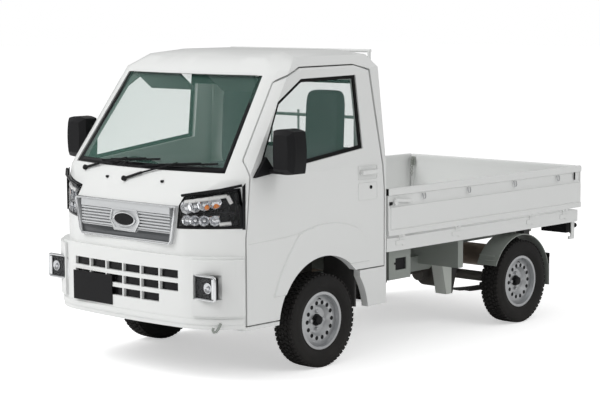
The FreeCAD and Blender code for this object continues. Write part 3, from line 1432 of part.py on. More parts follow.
rim = body_of("SteeringRim")
facets = []
for number in range(8):
    around = f"(45 deg * {number} + 22.5 deg)"
    facets.append((f"wheel_rim_radius + wheel_rim_tube * cos{around}", f"wheel_rim_tube * sin{around}"))
rim_section = outline(rim, "SteeringRimSection", "XZ_Plane", facets)
rim_turn = rim.newObject("PartDesign::Revolution", "SteeringRimTurn")
rim_turn.Profile = rim_section
rim_turn.ReferenceAxis = (rim_section, ["V_Axis"])
rim_turn.Angle = 360
along_column(rim, "0")
hub = doc.addObject("Part::Cylinder", "SteeringHub")
bind(hub, "Radius", "wheel_rim_radius / 3")
bind(hub, "Height", "hub_high")
along_column(hub, "-hub_high")
spokes = []
for number, turn in enumerate((0, 180, 270)):
    spoke = doc.addObject("Part::Box", f"SteeringSpoke{number}")
    bind(spoke, "Length", "wheel_rim_radius")
    bind(spoke, "Width", "spoke_wide")
    bind(spoke, "Height", "wheel_rim_tube / 2")
    across = lean.multiply(Rotation(Vector(0, 0, 1), turn))
    shift = across.multVec(Vector(0, -value("spoke_wide") / 2, -value("wheel_rim_tube") / 4))
    spoke.Placement = Placement(shift + Vector(value("column_x"), value("column_y"), value("column_z")),
                                across)
    spokes.append(spoke)
node("steering_wheel", join("SteeringWheel", [rim, hub] + spokes))
column = doc.addObject("Part::Cylinder", "ColumnTube")
bind(column, "Radius", "column_radius")
bind(column, "Height", "column_long")
along_column(column, "-hub_high - seat_gap - column_long")
column_cut = minus("ColumnTrim", column, dash)
node("steering_column", column_cut)

# Seats: cushions on the deck, high leaning backs with their head parts
cushions = []
backs = []
for side, sign in SIDES.items():
    title = side.capitalize()
    start = f"seat_x * {sign} - seat_wide / 2"
    cushions.append(prism("Cushion" + title, "YZ_Plane", [
        ("cushion_front_y", "seat_deck_z + seat_gap"),
        ("cushion_front_y + cushion_long", "seat_deck_z + seat_gap"),
        ("cushion_front_y + cushion_long", "seat_deck_z + cushion_high - seat_sink"),
        ("cushion_front_y + cushion_long / 2", "seat_deck_z + cushion_high - seat_sink / 3", "arc"),
        ("cushion_front_y + seat_sink", "seat_deck_z + cushion_high"),
        ("cushion_front_y + seat_sink / 4", "seat_deck_z + cushion_high - seat_sink / 2", "arc"),
        ("cushion_front_y", "seat_deck_z + cushion_high / 2"),
    ], "seat_wide", start))
    foot_y = "cushion_front_y + cushion_long + seat_gap"
    lower = prism("Back" + title, "YZ_Plane", [
        (foot_y, "seat_deck_z + seat_gap"),
        (f"{foot_y} + back_thick", "seat_deck_z + seat_gap"),
        (f"{foot_y} + back_thick + back_lean", "seat_deck_z + back_high * 0.8"),
        (f"{foot_y} + back_lean", "seat_deck_z + back_high * 0.8"),
    ], "seat_wide", start)
    upper = prism("Head" + title, "YZ_Plane", [
        (f"{foot_y} + back_lean", "seat_deck_z + back_high * 0.8"),
        (f"{foot_y} + back_thick + back_lean", "seat_deck_z + back_high * 0.8"),
        (f"{foot_y} + back_thick + back_lean * 1.3", "seat_deck_z + back_high + head_high"),
        (f"{foot_y} + back_lean * 1.6", "seat_deck_z + back_high + head_high"),
    ], "head_wide", f"seat_x * {sign} - head_wide / 2")
    backs.append(join("SeatBack" + title, [lower, upper]))
node("seat_cushions", group("SeatCushions", cushions))
node("seat_backs", group("SeatBacks", backs))

# Interior mirror under the roof and wipers on the scuttle
stem = rod("MirrorStem", ("0", "inside_mirror_y", "inside_mirror_z"), "z", "mirror_arm_radius / 2",
           "inside_mirror_rise")
glass_block = block("InsideMirror", ("0", "inside_mirror_y", "inside_mirror_z - grille_bar * 2"),
                    ("emblem_half * 2.4", "grille_bar * 2", "grille_bar * 5"))
node("interior_mirror", join("InteriorMirror", [stem, glass_block]))

doc.recompute()
bad = [item.Name for item in doc.Objects if set(item.State) & {"Invalid", "Error"}]
for label, item in nodes.items():
    if item.Shape.isNull() or not item.Shape.isValid() or not item.Shape.Solids:
        bad.append(label)
if bad:
    raise RuntimeError("not sound: " + ", ".join(bad))
for label, item in nodes.items():
    item.Shape.exportStep(f"parts/{label}.step")
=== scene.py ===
import logging
import math
from contextlib import contextmanager
from dataclasses import dataclass
from enum import Enum
from typing import Callable, Iterator, Sequence

import bpy
from mathutils import Matrix, Vector
from mathutils.bvhtree import BVHTree


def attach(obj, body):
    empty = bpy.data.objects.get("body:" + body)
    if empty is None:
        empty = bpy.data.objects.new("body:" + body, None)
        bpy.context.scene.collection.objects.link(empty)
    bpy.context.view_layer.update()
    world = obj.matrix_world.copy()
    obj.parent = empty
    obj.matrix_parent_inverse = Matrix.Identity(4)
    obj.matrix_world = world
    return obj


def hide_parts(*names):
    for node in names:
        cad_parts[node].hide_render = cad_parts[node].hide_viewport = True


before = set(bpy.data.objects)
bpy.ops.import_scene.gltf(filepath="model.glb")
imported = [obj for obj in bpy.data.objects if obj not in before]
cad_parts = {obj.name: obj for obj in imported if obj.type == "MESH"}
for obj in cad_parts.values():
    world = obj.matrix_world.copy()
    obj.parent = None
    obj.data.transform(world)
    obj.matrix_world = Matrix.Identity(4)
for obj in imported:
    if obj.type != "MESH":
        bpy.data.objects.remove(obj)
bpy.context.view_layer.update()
LOG = logging.getLogger("kei_truck")
TREES: dict[str, BVHTree] = {}

Piece = bpy.types.Object
Tree = bpy.types.NodeTree
Node = bpy.types.Node
Socket = bpy.types.NodeSocket
Inputs = dict[str | int, object]
Point = tuple[float, float]
Triple = tuple[float, float, float]

AXLE_Z = 0.268
MERGE = 0.00002
DUST_COLOR = (0.36, 0.33, 0.29)
FORWARD = (0, 1, 0)
INWARD = (-1, 0, 0)
AHEAD_Y = -2.5
BESIDE_X = 2


class Worded(Enum):
    """Members whose names the frame's nodes write in small letters."""

    @property
    def word(self) -> str:
        """The member's name as the frame's nodes write it."""
        return self.name.lower()


class Side(Worded):
    """The two sides of the truck, by the sign of x."""

    LEFT = 1
    RIGHT = -1


class End(Worded):
    """The two axles, by the place that they are at along y."""

    FRONT = -0.833
    REAR = 1.067


def fill(tree: Tree, node: Node, inputs: Inputs) -> None:
    """Set or link a node's inputs.

    Args:
        tree: the tree that the node is in.
        node: the node.
        inputs: a value, or a socket to link, for each input.
    """
    for key, value in inputs.items():
        if isinstance(value, Socket):
            tree.links.new(value, node.inputs[key])
        else:
            node.inputs[key].default_value = value


def add_node(tree: Tree, kind: str, inputs: Inputs | None = None, **settings: object) -> Node:
    """Add a shader node.

    Args:
        tree: the tree that it goes in.
        kind: its type, without the prefix.
        inputs: a value, or a socket to link, for each input.
        settings: its other settings.

    Returns:
        The node.
    """
    node = tree.nodes.new(f"ShaderNode{kind}")
    for key, value in settings.items():
        setattr(node, key, value)
    fill(tree, node, inputs or {})
    return node


def new_group(name: str, numbers: dict[str, float], outputs: Sequence[str]) -> tuple[Tree, Node, Node]:
    """Make a shader node group that reads a place.

    Args:
        name: the group's name.
        numbers: the number inputs and their defaults.
        outputs: the outputs' names.

    Returns:
        The group, its input node and its output node.
    """
    group = bpy.data.node_groups.new(name, "ShaderNodeTree")
    group.interface.new_socket("Place", in_out="INPUT", socket_type="NodeSocketVector")
    for title, default in numbers.items():
        socket = group.interface.new_socket(title, in_out="INPUT", socket_type="NodeSocketFloat")
        socket.default_value = default
    for title in outputs:
        group.interface.new_socket(title, in_out="OUTPUT", socket_type="NodeSocketFloat")
    return group, group.nodes.new("NodeGroupInput"), group.nodes.new("NodeGroupOutput")


def grain_group() -> Tree:
    """Fine unevenness: a slow drift of tone and a fine height, both from one place.

    Returns:
        The group.
    """
    scales = {"Drift Scale": 4, "Grain Scale": 400}
    group, start, end = new_group("SurfaceGrain", scales, ("Drift", "Height"))
    for title, scale, detail in (("Drift", "Drift Scale", 4), ("Height", "Grain Scale", 3)):
        noise = add_node(group, "TexNoise", {
            "Detail": detail, "Vector": start.outputs["Place"], "Scale": start.outputs[scale]})
        fill(group, end, {title: noise.outputs["Fac"]})
    return group


def dust_group() -> Tree:
    """Road film: stronger low down and broken up by noise.

    Returns:
        The group.
    """
    group, start, end = new_group("RoadDust", {"Top": 0.7, "Amount": 0.3}, ("Mask",))
    place = start.outputs["Place"]
    split = add_node(group, "SeparateXYZ", {"Vector": place})
    noise = add_node(group, "TexNoise", {"Scale": 9, "Detail": 6, "Vector": place})
    fade = add_node(group, "MapRange", {
        "Value": split.outputs["Z"], "From Min": start.outputs["Top"], "From Max": 0})
    mask = fade.outputs["Result"]
    for factor in (noise.outputs["Fac"], start.outputs["Amount"]):
        mask = add_node(group, "Math", {0: mask, 1: factor}, operation="MULTIPLY").outputs["Value"]
    fill(group, end, {"Mask": mask})
    return group


def weave_group() -> Tree:
    """Plain weave of a cloth: two crossed sets of threads.

    Returns:
        The group.
    """
    group, start, end = new_group("ClothWeave", {"Scale": 300}, ("Thread",))
    threads = [add_node(group, "TexWave", {
        "Distortion": 1.5, "Vector": start.outputs["Place"], "Scale": start.outputs["Scale"],
    }, bands_direction=axis).outputs["Fac"] for axis in ("X", "DIAGONAL")]
    mix = add_node(group, "Math", dict(enumerate(threads)), operation="MULTIPLY")
    fill(group, end, {"Thread": mix.outputs["Value"]})
    return group


GROUPS: dict[str, Tree] = {"grain": grain_group(), "dust": dust_group(), "weave": weave_group()}


def grouped(tree: Tree, key: str, inputs: Inputs) -> Node:
    """Place one of the shared groups in a material.

    Args:
        tree: the material's nodes.
        key: the group's key.
        inputs: a value, or a socket to link, for each input.

    Returns:
        The group's node.
    """
    node = tree.nodes.new("ShaderNodeGroup")
    node.node_tree = GROUPS[key]
    fill(tree, node, inputs)
    return node


def mixed(tree: Tree, factor: Socket, first: "Triple | Socket", second: Triple) -> Socket:
    """Mix two colours by a factor.

    Args:
        tree: the material's nodes.
        factor: the socket that drives the mix.
        first: a colour or a colour socket.
        second: the other colour.

    Returns:
        The mixed colour's socket.
    """
    start = (*first, 1) if isinstance(first, tuple) else first
    mix = add_node(tree, "Mix", {"Factor": factor, "A": start, "B": (*second, 1)}, data_type="RGBA")
    return mix.outputs["Result"]


def new_material(name: str) -> tuple[bpy.types.Material, Tree, Node, Socket]:
    """Make a node material.

    Args:
        name: its name.

    Returns:
        The material, its nodes, its shader and the socket of the object's coordinates.
    """
    material = bpy.data.materials.new(name)
    material.use_nodes = True
    tree = material.node_tree
    return material, tree, tree.nodes["Principled BSDF"], add_node(tree, "TexCoord").outputs["Object"]


@dataclass(frozen=True)
class Band:
    """A change of colour across one axis of the object.

    Attributes:
        axis: X, Y or Z, read in the truck's own frame.
        start: where the second colour begins, in metres.
        end: where it is full.
        color: the second colour.
    """

    axis: str
    start: float
    end: float
    color: Triple


@dataclass(frozen=True)
class Finish:
    """One finish of the truck, from which a node material is built.

    Attributes:
        name: the finish's plain name.
        color: its main colour.
        drift: the colour that it drifts to.
        roughness: the mean roughness.
        spread: how far the roughness varies.
        slot: the record's material slot that it mostly goes with; not used.
        metallic: 1 for bare metal.
        coat: weight of a clear coat.
        bump: height of the grain, in metres.
        grain: how fine the grain is.
        dust: how much road film it carries low down.
        weave: whether the grain is a cloth's weave.
        sheen: how much soft sheen a cloth has.
        bands: changes of colour by place.
        specular: how strongly it mirrors its surroundings.
    """

    name: str
    color: Triple
    drift: Triple
    roughness: float
    spread: float
    slot: str = "black_plastic"
    metallic: float = 0.0
    coat: float = 0.0
    bump: float = 0.0002
    grain: float = 400
    dust: float = 0.0
    weave: bool = False
    sheen: float = 0.0
    bands: tuple[Band, ...] = ()
    specular: float = 0.5

    def material(self) -> bpy.types.Material:
        """The finish's material, built once."""
        return bpy.data.materials.get(self.name) or self.built()

    def built(self) -> bpy.types.Material:
        """Build the material with its procedural nodes.

        Returns:
            The material.
        """
        material, tree, shader, place = new_material(self.name)
        grain = grouped(tree, "grain", {"Place": place, "Grain Scale": self.grain})
        drift, height = grain.outputs["Drift"], grain.outputs["Height"]
        color = mixed(tree, drift, self.color, self.drift)
        for band in self.bands:
            split = add_node(tree, "SeparateXYZ", {"Vector": place})
            step = add_node(tree, "MapRange", {
                "From Min": band.start, "From Max": band.end, "Value": split.outputs[band.axis]})
            color = mixed(tree, step.outputs["Result"], color, band.color)
        if self.dust:
            dust = grouped(tree, "dust", {"Place": place, "Amount": self.dust})
            color = mixed(tree, dust.outputs["Mask"], color, DUST_COLOR)
        if self.weave:
            height = grouped(tree, "weave", {"Place": place, "Scale": self.grain}).outputs["Thread"]
        rough = add_node(tree, "MapRange", {
            "To Min": max(0.02, self.roughness - self.spread),
            "To Max": min(1, self.roughness + self.spread), "Value": drift})
        bump = add_node(tree, "Bump", {"Distance": self.bump, "Height": height})
        fill(tree, shader, {
            "Base Color": color, "Roughness": rough.outputs["Result"], "Normal": bump.outputs["Normal"],
            "Metallic": self.metallic, "Specular IOR Level": self.specular, "Coat Weight": self.coat,
            "Coat Roughness": 0.04, "Sheen Weight": self.sheen})
        return material


@dataclass(frozen=True)
class GlassFinish:
    """Tinted glass that lets light through and mirrors the sky at a low angle.

    Attributes:
        name: the finish's plain name.
        tint: the glass's colour.
        clear: how much of the tint shows from straight on.
        edge: how much shows at a low angle.
        slot: the record's material slot; not used.
        drift: the share of the tint that it drifts to.
        steepness: how sharply the tint rises toward a low angle.
    """

    name: str
    tint: Triple
    clear: float
    edge: float
    slot: str = "lamp_lens"
    drift: float = 0.8
    steepness: float = 5

    def material(self) -> bpy.types.Material:
        """The glass's material, built once."""
        return bpy.data.materials.get(self.name) or self.built()

    def built(self) -> bpy.types.Material:
        """Build the material with its procedural nodes.

        Returns:
            The material.
        """
        material, tree, shader, place = new_material(self.name)
        grain = grouped(tree, "grain", {"Place": place})
        shade = tuple(part * self.drift for part in self.tint)
        facing = add_node(tree, "LayerWeight").outputs["Facing"]
        steep = add_node(tree, "Math", {0: facing, 1: self.steepness}, operation="POWER")
        cover = add_node(tree, "MapRange", {
            "To Min": self.clear, "To Max": self.edge, "Value": steep.outputs["Value"]})
        fill(tree, shader, {
            "Base Color": mixed(tree, grain.outputs["Drift"], self.tint, shade), "Roughness": 0.03,
            "Specular IOR Level": 0.8, "Alpha": cover.outputs["Result"]})
        return material


Look = Finish | GlassFinish

PAINTED = {"slot": "chassis_paint", "bump": 0.0003, "dust": 0.15}
LENS_CAP = {"slot": "lamp_lens", "coat": 0.8, "bump": 0.0006, "grain": 80}
FRAME_COLORS = ((0.66, 0.69, 0.65), (0.58, 0.61, 0.57))

WHITE = Finish("white_paint", (0.78, 0.79, 0.78), (0.765, 0.775, 0.765), 0.36, 0.01, "body_white",
               coat=0.25, bump=0.00005, grain=900)
CHASSIS = Finish("chassis_paint", *FRAME_COLORS, 0.5, 0.08, **PAINTED)
SPRINGS = Finish("spring_paint", *FRAME_COLORS, 0.5, 0.08, **PAINTED,
                 bands=(Band("Y", 0.655, 0.660, (0.03, 0.03, 0.03)),))
CAST = Finish("dark_castings", (0.06, 0.06, 0.06), (0.12, 0.11, 0.10), 0.6, 0.12,
              metallic=0.5, bump=0.0012, grain=160, dust=0.5)
EXHAUST = Finish("heated_steel", (0.30, 0.24, 0.19), (0.16, 0.12, 0.10), 0.45, 0.15,
                 metallic=0.8, bump=0.0006, grain=220, dust=0.3)
SILVER = Finish("silver_wheel", (0.55, 0.56, 0.57), (0.46, 0.47, 0.48), 0.34, 0.07, "wheel_silver",
                metallic=0.75, dust=0.1)
CHROME = Finish("bright_trim", (0.80, 0.81, 0.82), (0.70, 0.71, 0.72), 0.12, 0.04, "lamp_lens",
                metallic=1.0, bump=0.00002)
REFLECTOR = Finish("lamp_reflector", (0.85, 0.86, 0.88), (0.60, 0.61, 0.63), 0.10, 0.05, "lamp_lens",
                   metallic=1.0, bump=0.0008, grain=60)
GRILLE = Finish("grille_silver", (0.36, 0.37, 0.38), (0.30, 0.31, 0.32), 0.3, 0.05, "grille_silver",
                metallic=0.6, coat=0.4, bands=(Band("Y", -1.6665, -1.6655, (0.012, 0.012, 0.012)),))
DARK_SILVER = Finish("dark_silver", (0.10, 0.105, 0.11), (0.075, 0.08, 0.085), 0.34, 0.05, "grille_silver",
                     metallic=0.7, coat=0.4, bump=0.00005)
RUBBER = Finish("tyre_rubber", (0.012, 0.012, 0.013), (0.020, 0.019, 0.018), 0.72, 0.1, "tyre",
                bump=0.0006, grain=320, dust=0.06, specular=0.14)
BLACK = Finish("satin_black_plastic", (0.010, 0.010, 0.011), (0.016, 0.016, 0.017), 0.42, 0.07,
               bump=0.0003, grain=700, specular=0.12)
GLOSS_BLACK = Finish("gloss_black", (0.006, 0.006, 0.007), (0.010, 0.010, 0.011), 0.2, 0.04, specular=0.15)
SEAL = Finish("rubber_seal", (0.008, 0.008, 0.008), (0.014, 0.014, 0.014), 0.7, 0.08,
              bump=0.0003, specular=0.1)
DASH = Finish("dash_plastic", (0.10, 0.10, 0.105), (0.13, 0.13, 0.135), 0.6, 0.08, bump=0.0005, grain=500)
CLOTH = Finish("seat_cloth", (0.075, 0.078, 0.088), (0.11, 0.113, 0.125), 0.85, 0.08, "seat_cloth",
               bump=0.0006, grain=260, weave=True, sheen=0.3)
MAT = Finish("floor_mat", (0.05, 0.05, 0.05), (0.08, 0.078, 0.075), 0.85, 0.08, bump=0.0012, grain=120)
AMBER = Finish("amber_lens", (0.75, 0.22, 0.02), (0.60, 0.16, 0.02), 0.15, 0.04, **LENS_CAP)
RED = Finish("red_lens", (0.52, 0.02, 0.015), (0.40, 0.015, 0.012), 0.15, 0.04, **LENS_CAP)
WARM = Finish("pale_lens", (0.75, 0.75, 0.73), (0.60, 0.60, 0.60), 0.12, 0.04, **LENS_CAP)
CHAIN = Finish("zinc_chain", (0.46, 0.48, 0.45), (0.34, 0.36, 0.33), 0.4, 0.1, "chassis_paint",
               metallic=0.8, bump=0.0004)
MIRROR = Finish("mirror_face", (0.88, 0.89, 0.90), (0.84, 0.85, 0.86), 0.03, 0.01, "glass",
                metallic=1.0, bump=0.00001)
GLASS = GlassFinish("cab_glass", (0.18, 0.40, 0.32), 0.12, 0.8)
LENS = GlassFinish("clear_lens", (0.30, 0.31, 0.32), 0.04, 0.6)


def clear_selection() -> None:
    """Leave edit mode and deselect everything."""
    if bpy.context.object and bpy.context.object.mode != "OBJECT":
        bpy.ops.object.mode_set(mode="OBJECT")
    bpy.ops.object.select_all(action="DESELECT")


def active(piece: Piece) -> Piece:
    """Make one piece the only selected and active one.

    Args:
        piece: the piece.

    Returns:
        The piece.
    """
    clear_selection()
    piece.select_set(True)
    bpy.context.view_layer.objects.active = piece
    return piece


@contextmanager
def editing(piece: Piece) -> Iterator[None]:
    """Hold a piece in edit mode, at first with all of its mesh selected.

    Args:
        piece: the piece.

    Yields:
        Nothing, while edit mode lasts.
    """
    active(piece)
    bpy.ops.object.mode_set(mode="EDIT")
    bpy.ops.mesh.select_all(action="SELECT")
    yield
    bpy.ops.object.mode_set(mode="OBJECT")


def settled() -> Piece:
    """The newest piece, with its place and turn put into its mesh.

    Returns:
        The piece.
    """
    piece = active(bpy.context.object)
    bpy.ops.object.transform_apply(location=True, rotation=True, scale=True)
    return piece


def apply_modifier(piece: Piece, kind: str, **values: object) -> Piece:
    """Add a modifier with its values and apply it.

    Args:
        piece: the piece.
        kind: the modifier's type.
        values: the modifier's settings.

    Returns:
        The piece.
    """
    active(piece)
    modifier = piece.modifiers.new(kind.title(), kind)
    for key, value in values.items():
        setattr(modifier, key, value)
    bpy.ops.object.modifier_apply(modifier=modifier.name)
    return piece


def beveled(piece: Piece, width: float, angle: float) -> Piece:
    """Round the sharp edges of a piece, if the width isn't 0.

    Args:
        piece: the piece.
        width: the edges' radius.
        angle: the least turn, in radians, of an edge that is rounded.

    Returns:
        The piece.
    """
    if not width:
        return piece
    return apply_modifier(piece, "BEVEL", width=width, segments=2, limit_method="ANGLE", angle_limit=angle)


def smooth(piece: Piece, angle: float = 35) -> Piece:
    """Shade a piece smooth.

    Args:
        piece: the piece.
        angle: the turn, in degrees, past which an edge stays sharp.

    Returns:
        The piece.
    """
    active(piece)
    bpy.ops.object.shade_smooth_by_angle(angle=math.radians(angle))
    return piece


def block(centre: Triple, extent: Triple, bevel: float = 0.0, turn: Triple = (0, 0, 0),
          segments: int = 2) -> Piece:
    """A block with rounded edges.

    Args:
        centre: its middle, in metres.
        extent: its three lengths.
        bevel: the radius of its edges.
        turn: its turn about the three axes, in radians.
        segments: how many facets round an edge.

    Returns:
        The piece.
    """
    clear_selection()
    bpy.ops.mesh.primitive_cube_add(size=1, location=centre, rotation=turn, scale=extent)
    piece = settled()
    if bevel:
        with editing(piece):
            bpy.ops.mesh.bevel(offset=bevel, segments=segments, affect="EDGES")
    return piece


def bar(start: Sequence[float], end: Sequence[float], radius: float, facets: int = 16,
        bevel: float = 0.0) -> Piece:
    """A round bar between two points.

    Args:
        start: the middle of its first end.
        end: the middle of its other end.
        radius: its radius.
        facets: how many facets it has round.
        bevel: the radius of its end edges.

    Returns:
        The piece.
    """
    run = Vector(end) - Vector(start)
    clear_selection()
    bpy.ops.mesh.primitive_cylinder_add(
        vertices=facets, radius=radius, depth=run.length, location=(Vector(end) + Vector(start)) / 2,
        rotation=run.to_track_quat("Z", "Y").to_euler())
    return smooth(beveled(settled(), bevel, 1.0), 40)


def run_of_bars(points: Sequence[Sequence[float]], radius: float, facets: int) -> list[Piece]:
    """Bars from each point of a run to the next."""
    return [bar(start, end, radius, facets) for start, end in zip(points, points[1:])]


def joined(name: str, pieces: Sequence[Piece]) -> Piece:
    """Join pieces into one mesh under one name.

    Args:
        name: the joined piece's name.
        pieces: the pieces.

    Returns:
        The joined piece.
    """
    clear_selection()
    for piece in pieces:
        piece.select_set(True)
    bpy.context.view_layer.objects.active = pieces[0]
    if len(pieces) > 1:
        bpy.ops.object.join()
    bpy.context.object.name = name
    return bpy.context.object


def dress(name: str, pieces: Sequence[Piece], finish: Look, body: str = "root", nodes: Sequence[str] = ()) -> Piece:
    """Join pieces and give them their name, finish and body.

    Args:
        name: the joined piece's name.
        pieces: the pieces.
        finish: the finish that they wear.
        body: the body that they move with.
        nodes: the frame's nodes that they stand for.

    Returns:
        The joined piece.
    """
    piece = joined(name, pieces)
    piece.data.materials.clear()
    piece.data.materials.append(finish.material())
    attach(piece, body)
    if nodes:
        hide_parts(*nodes)
    LOG.info("%s rides on %s", piece.name, body)
    return piece


def dress_pair(name: str, pieces: Sequence[Piece], finish: Look, body: str = "root",
               nodes: Sequence[str] = ()) -> None:
    """Dress the left side's pieces and their mirrored twin.

    Args:
        name: the joined piece's name, without its side.
        pieces: the left side's pieces.
        finish: the finish that they wear.
        body: the body that they move with, {} for the side.
        nodes: the frame's nodes that they stand for, {} for the side.
    """
    left = joined(f"{name}_left", pieces)
    for side, piece in (("left", left), ("right", twin(left))):
        stands_for = [node.format(side) for node in nodes]
        dress(f"{name}_{side}", [piece], finish, body.format(side), stands_for)


def copied(piece: Piece, matrix: Matrix) -> Piece:
    """Copy a piece with its mesh, and move the copy.

    Args:
        piece: the piece.
        matrix: the shift and turn, which don't mirror it.

    Returns:
        The copy.
    """
    copy = piece.copy()
    copy.data = piece.data.copy()
    bpy.context.collection.objects.link(copy)
    copy.data.transform(matrix)
    return copy


def twin(piece: Piece) -> Piece:
    """A copy of a piece with its own mesh, mirrored to the truck's other side.

    Args:
        piece: the piece on the left side.

    Returns:
        The copy.
    """
    copy = copied(piece, Matrix())
    with editing(copy):
        bpy.ops.transform.resize(value=(-1, 1, 1), center_override=(0, 0, 0))
        bpy.ops.mesh.flip_normals()
    return copy


def node_copy(node: str) -> Piece:
    """A merged copy of one of the frame's nodes, free of the frame.

    Args:
        node: the node's name.

    Returns:
        The copy.
    """
    copy = bpy.data.objects.new(node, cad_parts[node].data.copy())
    bpy.context.collection.objects.link(copy)
    with editing(copy):
        bpy.ops.mesh.remove_doubles(threshold=MERGE)
    return copy


def keep_faces(piece: Piece, wanted: Callable[[bpy.types.MeshPolygon], bool]) -> Piece:
    """Delete every face of a piece that isn't wanted.

    Args:
        piece: the piece.
        wanted: the test of a face.

    Returns:
        The piece.
    """
    with editing(piece):
        bpy.ops.mesh.select_mode(type="FACE")
        bpy.ops.mesh.select_all(action="DESELECT")
    for face in piece.data.polygons:
        face.select = not wanted(face)
    bpy.ops.object.mode_set(mode="EDIT")
    bpy.ops.mesh.delete(type="FACE")
    bpy.ops.object.mode_set(mode="OBJECT")
    return piece


def outward(node: str, way: Triple, least: float) -> Piece:
    """A copy of a node with only the faces that look a given way."""
    aim = Vector(way).normalized()
    return keep_faces(node_copy(node), lambda face: face.normal.dot(aim) > least)


def border(piece: Piece, width: float, lift: float, thick: float) -> Piece:
    """Turn an open sheet into a strip along its rim, lifted off the sheet.

    Args:
        piece: the sheet.
        width: the strip's width.
        lift: how far it stands off the sheet.
        thick: its thickness.

    Returns:
        The strip.
    """
    with editing(piece):
        bpy.ops.mesh.dissolve_limited(angle_limit=0.002)
        bpy.ops.mesh.select_all(action="SELECT")
        bpy.ops.mesh.inset(thickness=width, use_boundary=True)
        bpy.ops.mesh.delete(type="FACE")
        bpy.ops.mesh.select_all(action="SELECT")
        bpy.ops.transform.shrink_fatten(value=lift)
    return apply_modifier(piece, "SOLIDIFY", thickness=thick, offset=1)


def circle_of(fill_type: str, places: Sequence[Triple]) -> Piece:
    """A ring of edges, or one face, whose corners are moved to given places.

    Args:
        fill_type: NOTHING for the edges alone, or NGON for a face.
        places: the corners.

    Returns:
        The piece.
    """
    clear_selection()
    bpy.ops.mesh.primitive_circle_add(vertices=len(places), radius=1, fill_type=fill_type)
    piece = bpy.context.object
    for vertex, place in zip(piece.data.vertices, places):
        vertex.co = place
    return piece


def outline_plate(points: Sequence[Point], place: float, thick: float, bevel: float = 0.0,
                  axis: str = "Y") -> Piece:
    """A flat plate of any outline, extruded along an axis.

    Args:
        points: its corners in the other two axes.
        place: where it starts on that axis.
        thick: how thick it is.
        bevel: the radius of its edges.
        axis: X or Y, the way that it is extruded.

    Returns:
        The piece.
    """
    number = "XY".index(axis)
    piece = circle_of("NGON", at_depth(points, place, number))
    shift = [thick if number == other else 0 for other in range(3)]
    with editing(piece):
        bpy.ops.mesh.extrude_region_move(TRANSFORM_OT_translate={"value": shift})
        bpy.ops.mesh.select_all(action="SELECT")
        bpy.ops.mesh.normals_make_consistent(inside=False)
    return smooth(beveled(piece, bevel, 0.6), 30)


def ring(profile: Sequence[Point], steps: int) -> Piece:
    """A closed ring spun about the x axis.

    Args:
        profile: its section as x and radius, in order round the section.
        steps: how many steps round.

    Returns:
        The piece.
    """
    piece = circle_of("NOTHING", [(across, 0, radius) for across, radius in profile])
    with editing(piece):
        bpy.ops.mesh.spin(steps=steps, angle=math.tau, center=(0, 0, 0), axis=(1, 0, 0))
        bpy.ops.mesh.select_all(action="SELECT")
        bpy.ops.mesh.remove_doubles(threshold=0.0001)
        bpy.ops.mesh.normals_make_consistent(inside=False)
    return smooth(piece, 40)


def spun(piece: Piece, count: int) -> Piece:
    """Repeat a piece's mesh evenly round the x axis, and join the copies.

    Args:
        piece: the piece at its first place.
        count: how many times it stands round the axis.

    Returns:
        The piece.
    """
    with editing(piece):
        bpy.ops.mesh.spin(steps=count - 1, dupli=True, angle=math.tau * (count - 1) / count,
                          center=(0, 0, 0), axis=(1, 0, 0))
    return piece


def piping(points: Sequence[Sequence[float]], radius: float, closed: bool = False,
           facets: int = 2) -> Piece:
    """A round tube along a run of points.

    Args:
        points: the points that it follows.
        radius: its radius.
        closed: whether its end meets its start.
        facets: how fine its section is.

    Returns:
        The tube.
    """
    clear_selection()
    curve = bpy.data.curves.new("piping", "CURVE")
    curve.dimensions = "3D"
    curve.bevel_depth = radius
    curve.bevel_resolution = facets
    curve.use_fill_caps = not closed
    spline = curve.splines.new("POLY")
    spline.points.add(len(points) - 1)
    for spot, point in zip(spline.points, points):
        spot.co = (*point, 1)
    spline.use_cyclic_u = closed
    piece = bpy.data.objects.new("piping", curve)
    bpy.context.collection.objects.link(piece)
    active(piece)
    bpy.ops.object.convert(target="MESH")
    return smooth(bpy.context.object, 50)


def rounded_box(centre: Point, half: Point, corner: float, steps: int = 4) -> list[Point]:
    """The corners of a rectangle with rounded corners.

    Args:
        centre: its middle.
        half: half its width and height.
        corner: the radius of its corners.
        steps: how many facets round a corner.

    Returns:
        The corners, in order.
    """
    spots = []
    for number, (side, rise) in enumerate(((1, 1), (-1, 1), (-1, -1), (1, -1))):
        for step in range(steps + 1):
            angle = math.radians(90 * number + 90 * step / steps)
            spots.append((centre[0] + (side * (half[0] - corner) + corner * math.cos(angle)),
                          centre[1] + (rise * (half[1] - corner) + corner * math.sin(angle))))
    return spots


def at_depth(points: Sequence[Point], place: float, axis: int = 1) -> list[Triple]:
    """Points of two axes set at a place on the third."""
    return [(*point[:axis], place, *point[axis:]) for point in points]


def met(node: str, origin: Triple, way: Triple) -> "Vector | None":
    """Where a ray meets one of the frame's nodes.

    Args:
        node: the node's name.
        origin: where the ray starts.
        way: its direction.

    Returns:
        The first point that it meets, or None where it misses.
    """
    if node not in TREES:
        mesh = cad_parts[node].data
        TREES[node] = BVHTree.FromPolygons([vertex.co for vertex in mesh.vertices],
                                           [tuple(face.vertices) for face in mesh.polygons])
    return TREES[node].ray_cast(Vector(origin), Vector(way).normalized())[0]


def surface(node: str, origin: Triple, way: Triple) -> Vector:
    """Where a ray meets one of the frame's nodes, which it mustn't miss.

    Args:
        node: the node's name.
        origin: where the ray starts.
        way: its direction.

    Returns:
        The first point that it meets.
    """
    place = met(node, origin, way)
    if place is None:
        raise ValueError(f"the ray misses {node} from {origin}")
    return place


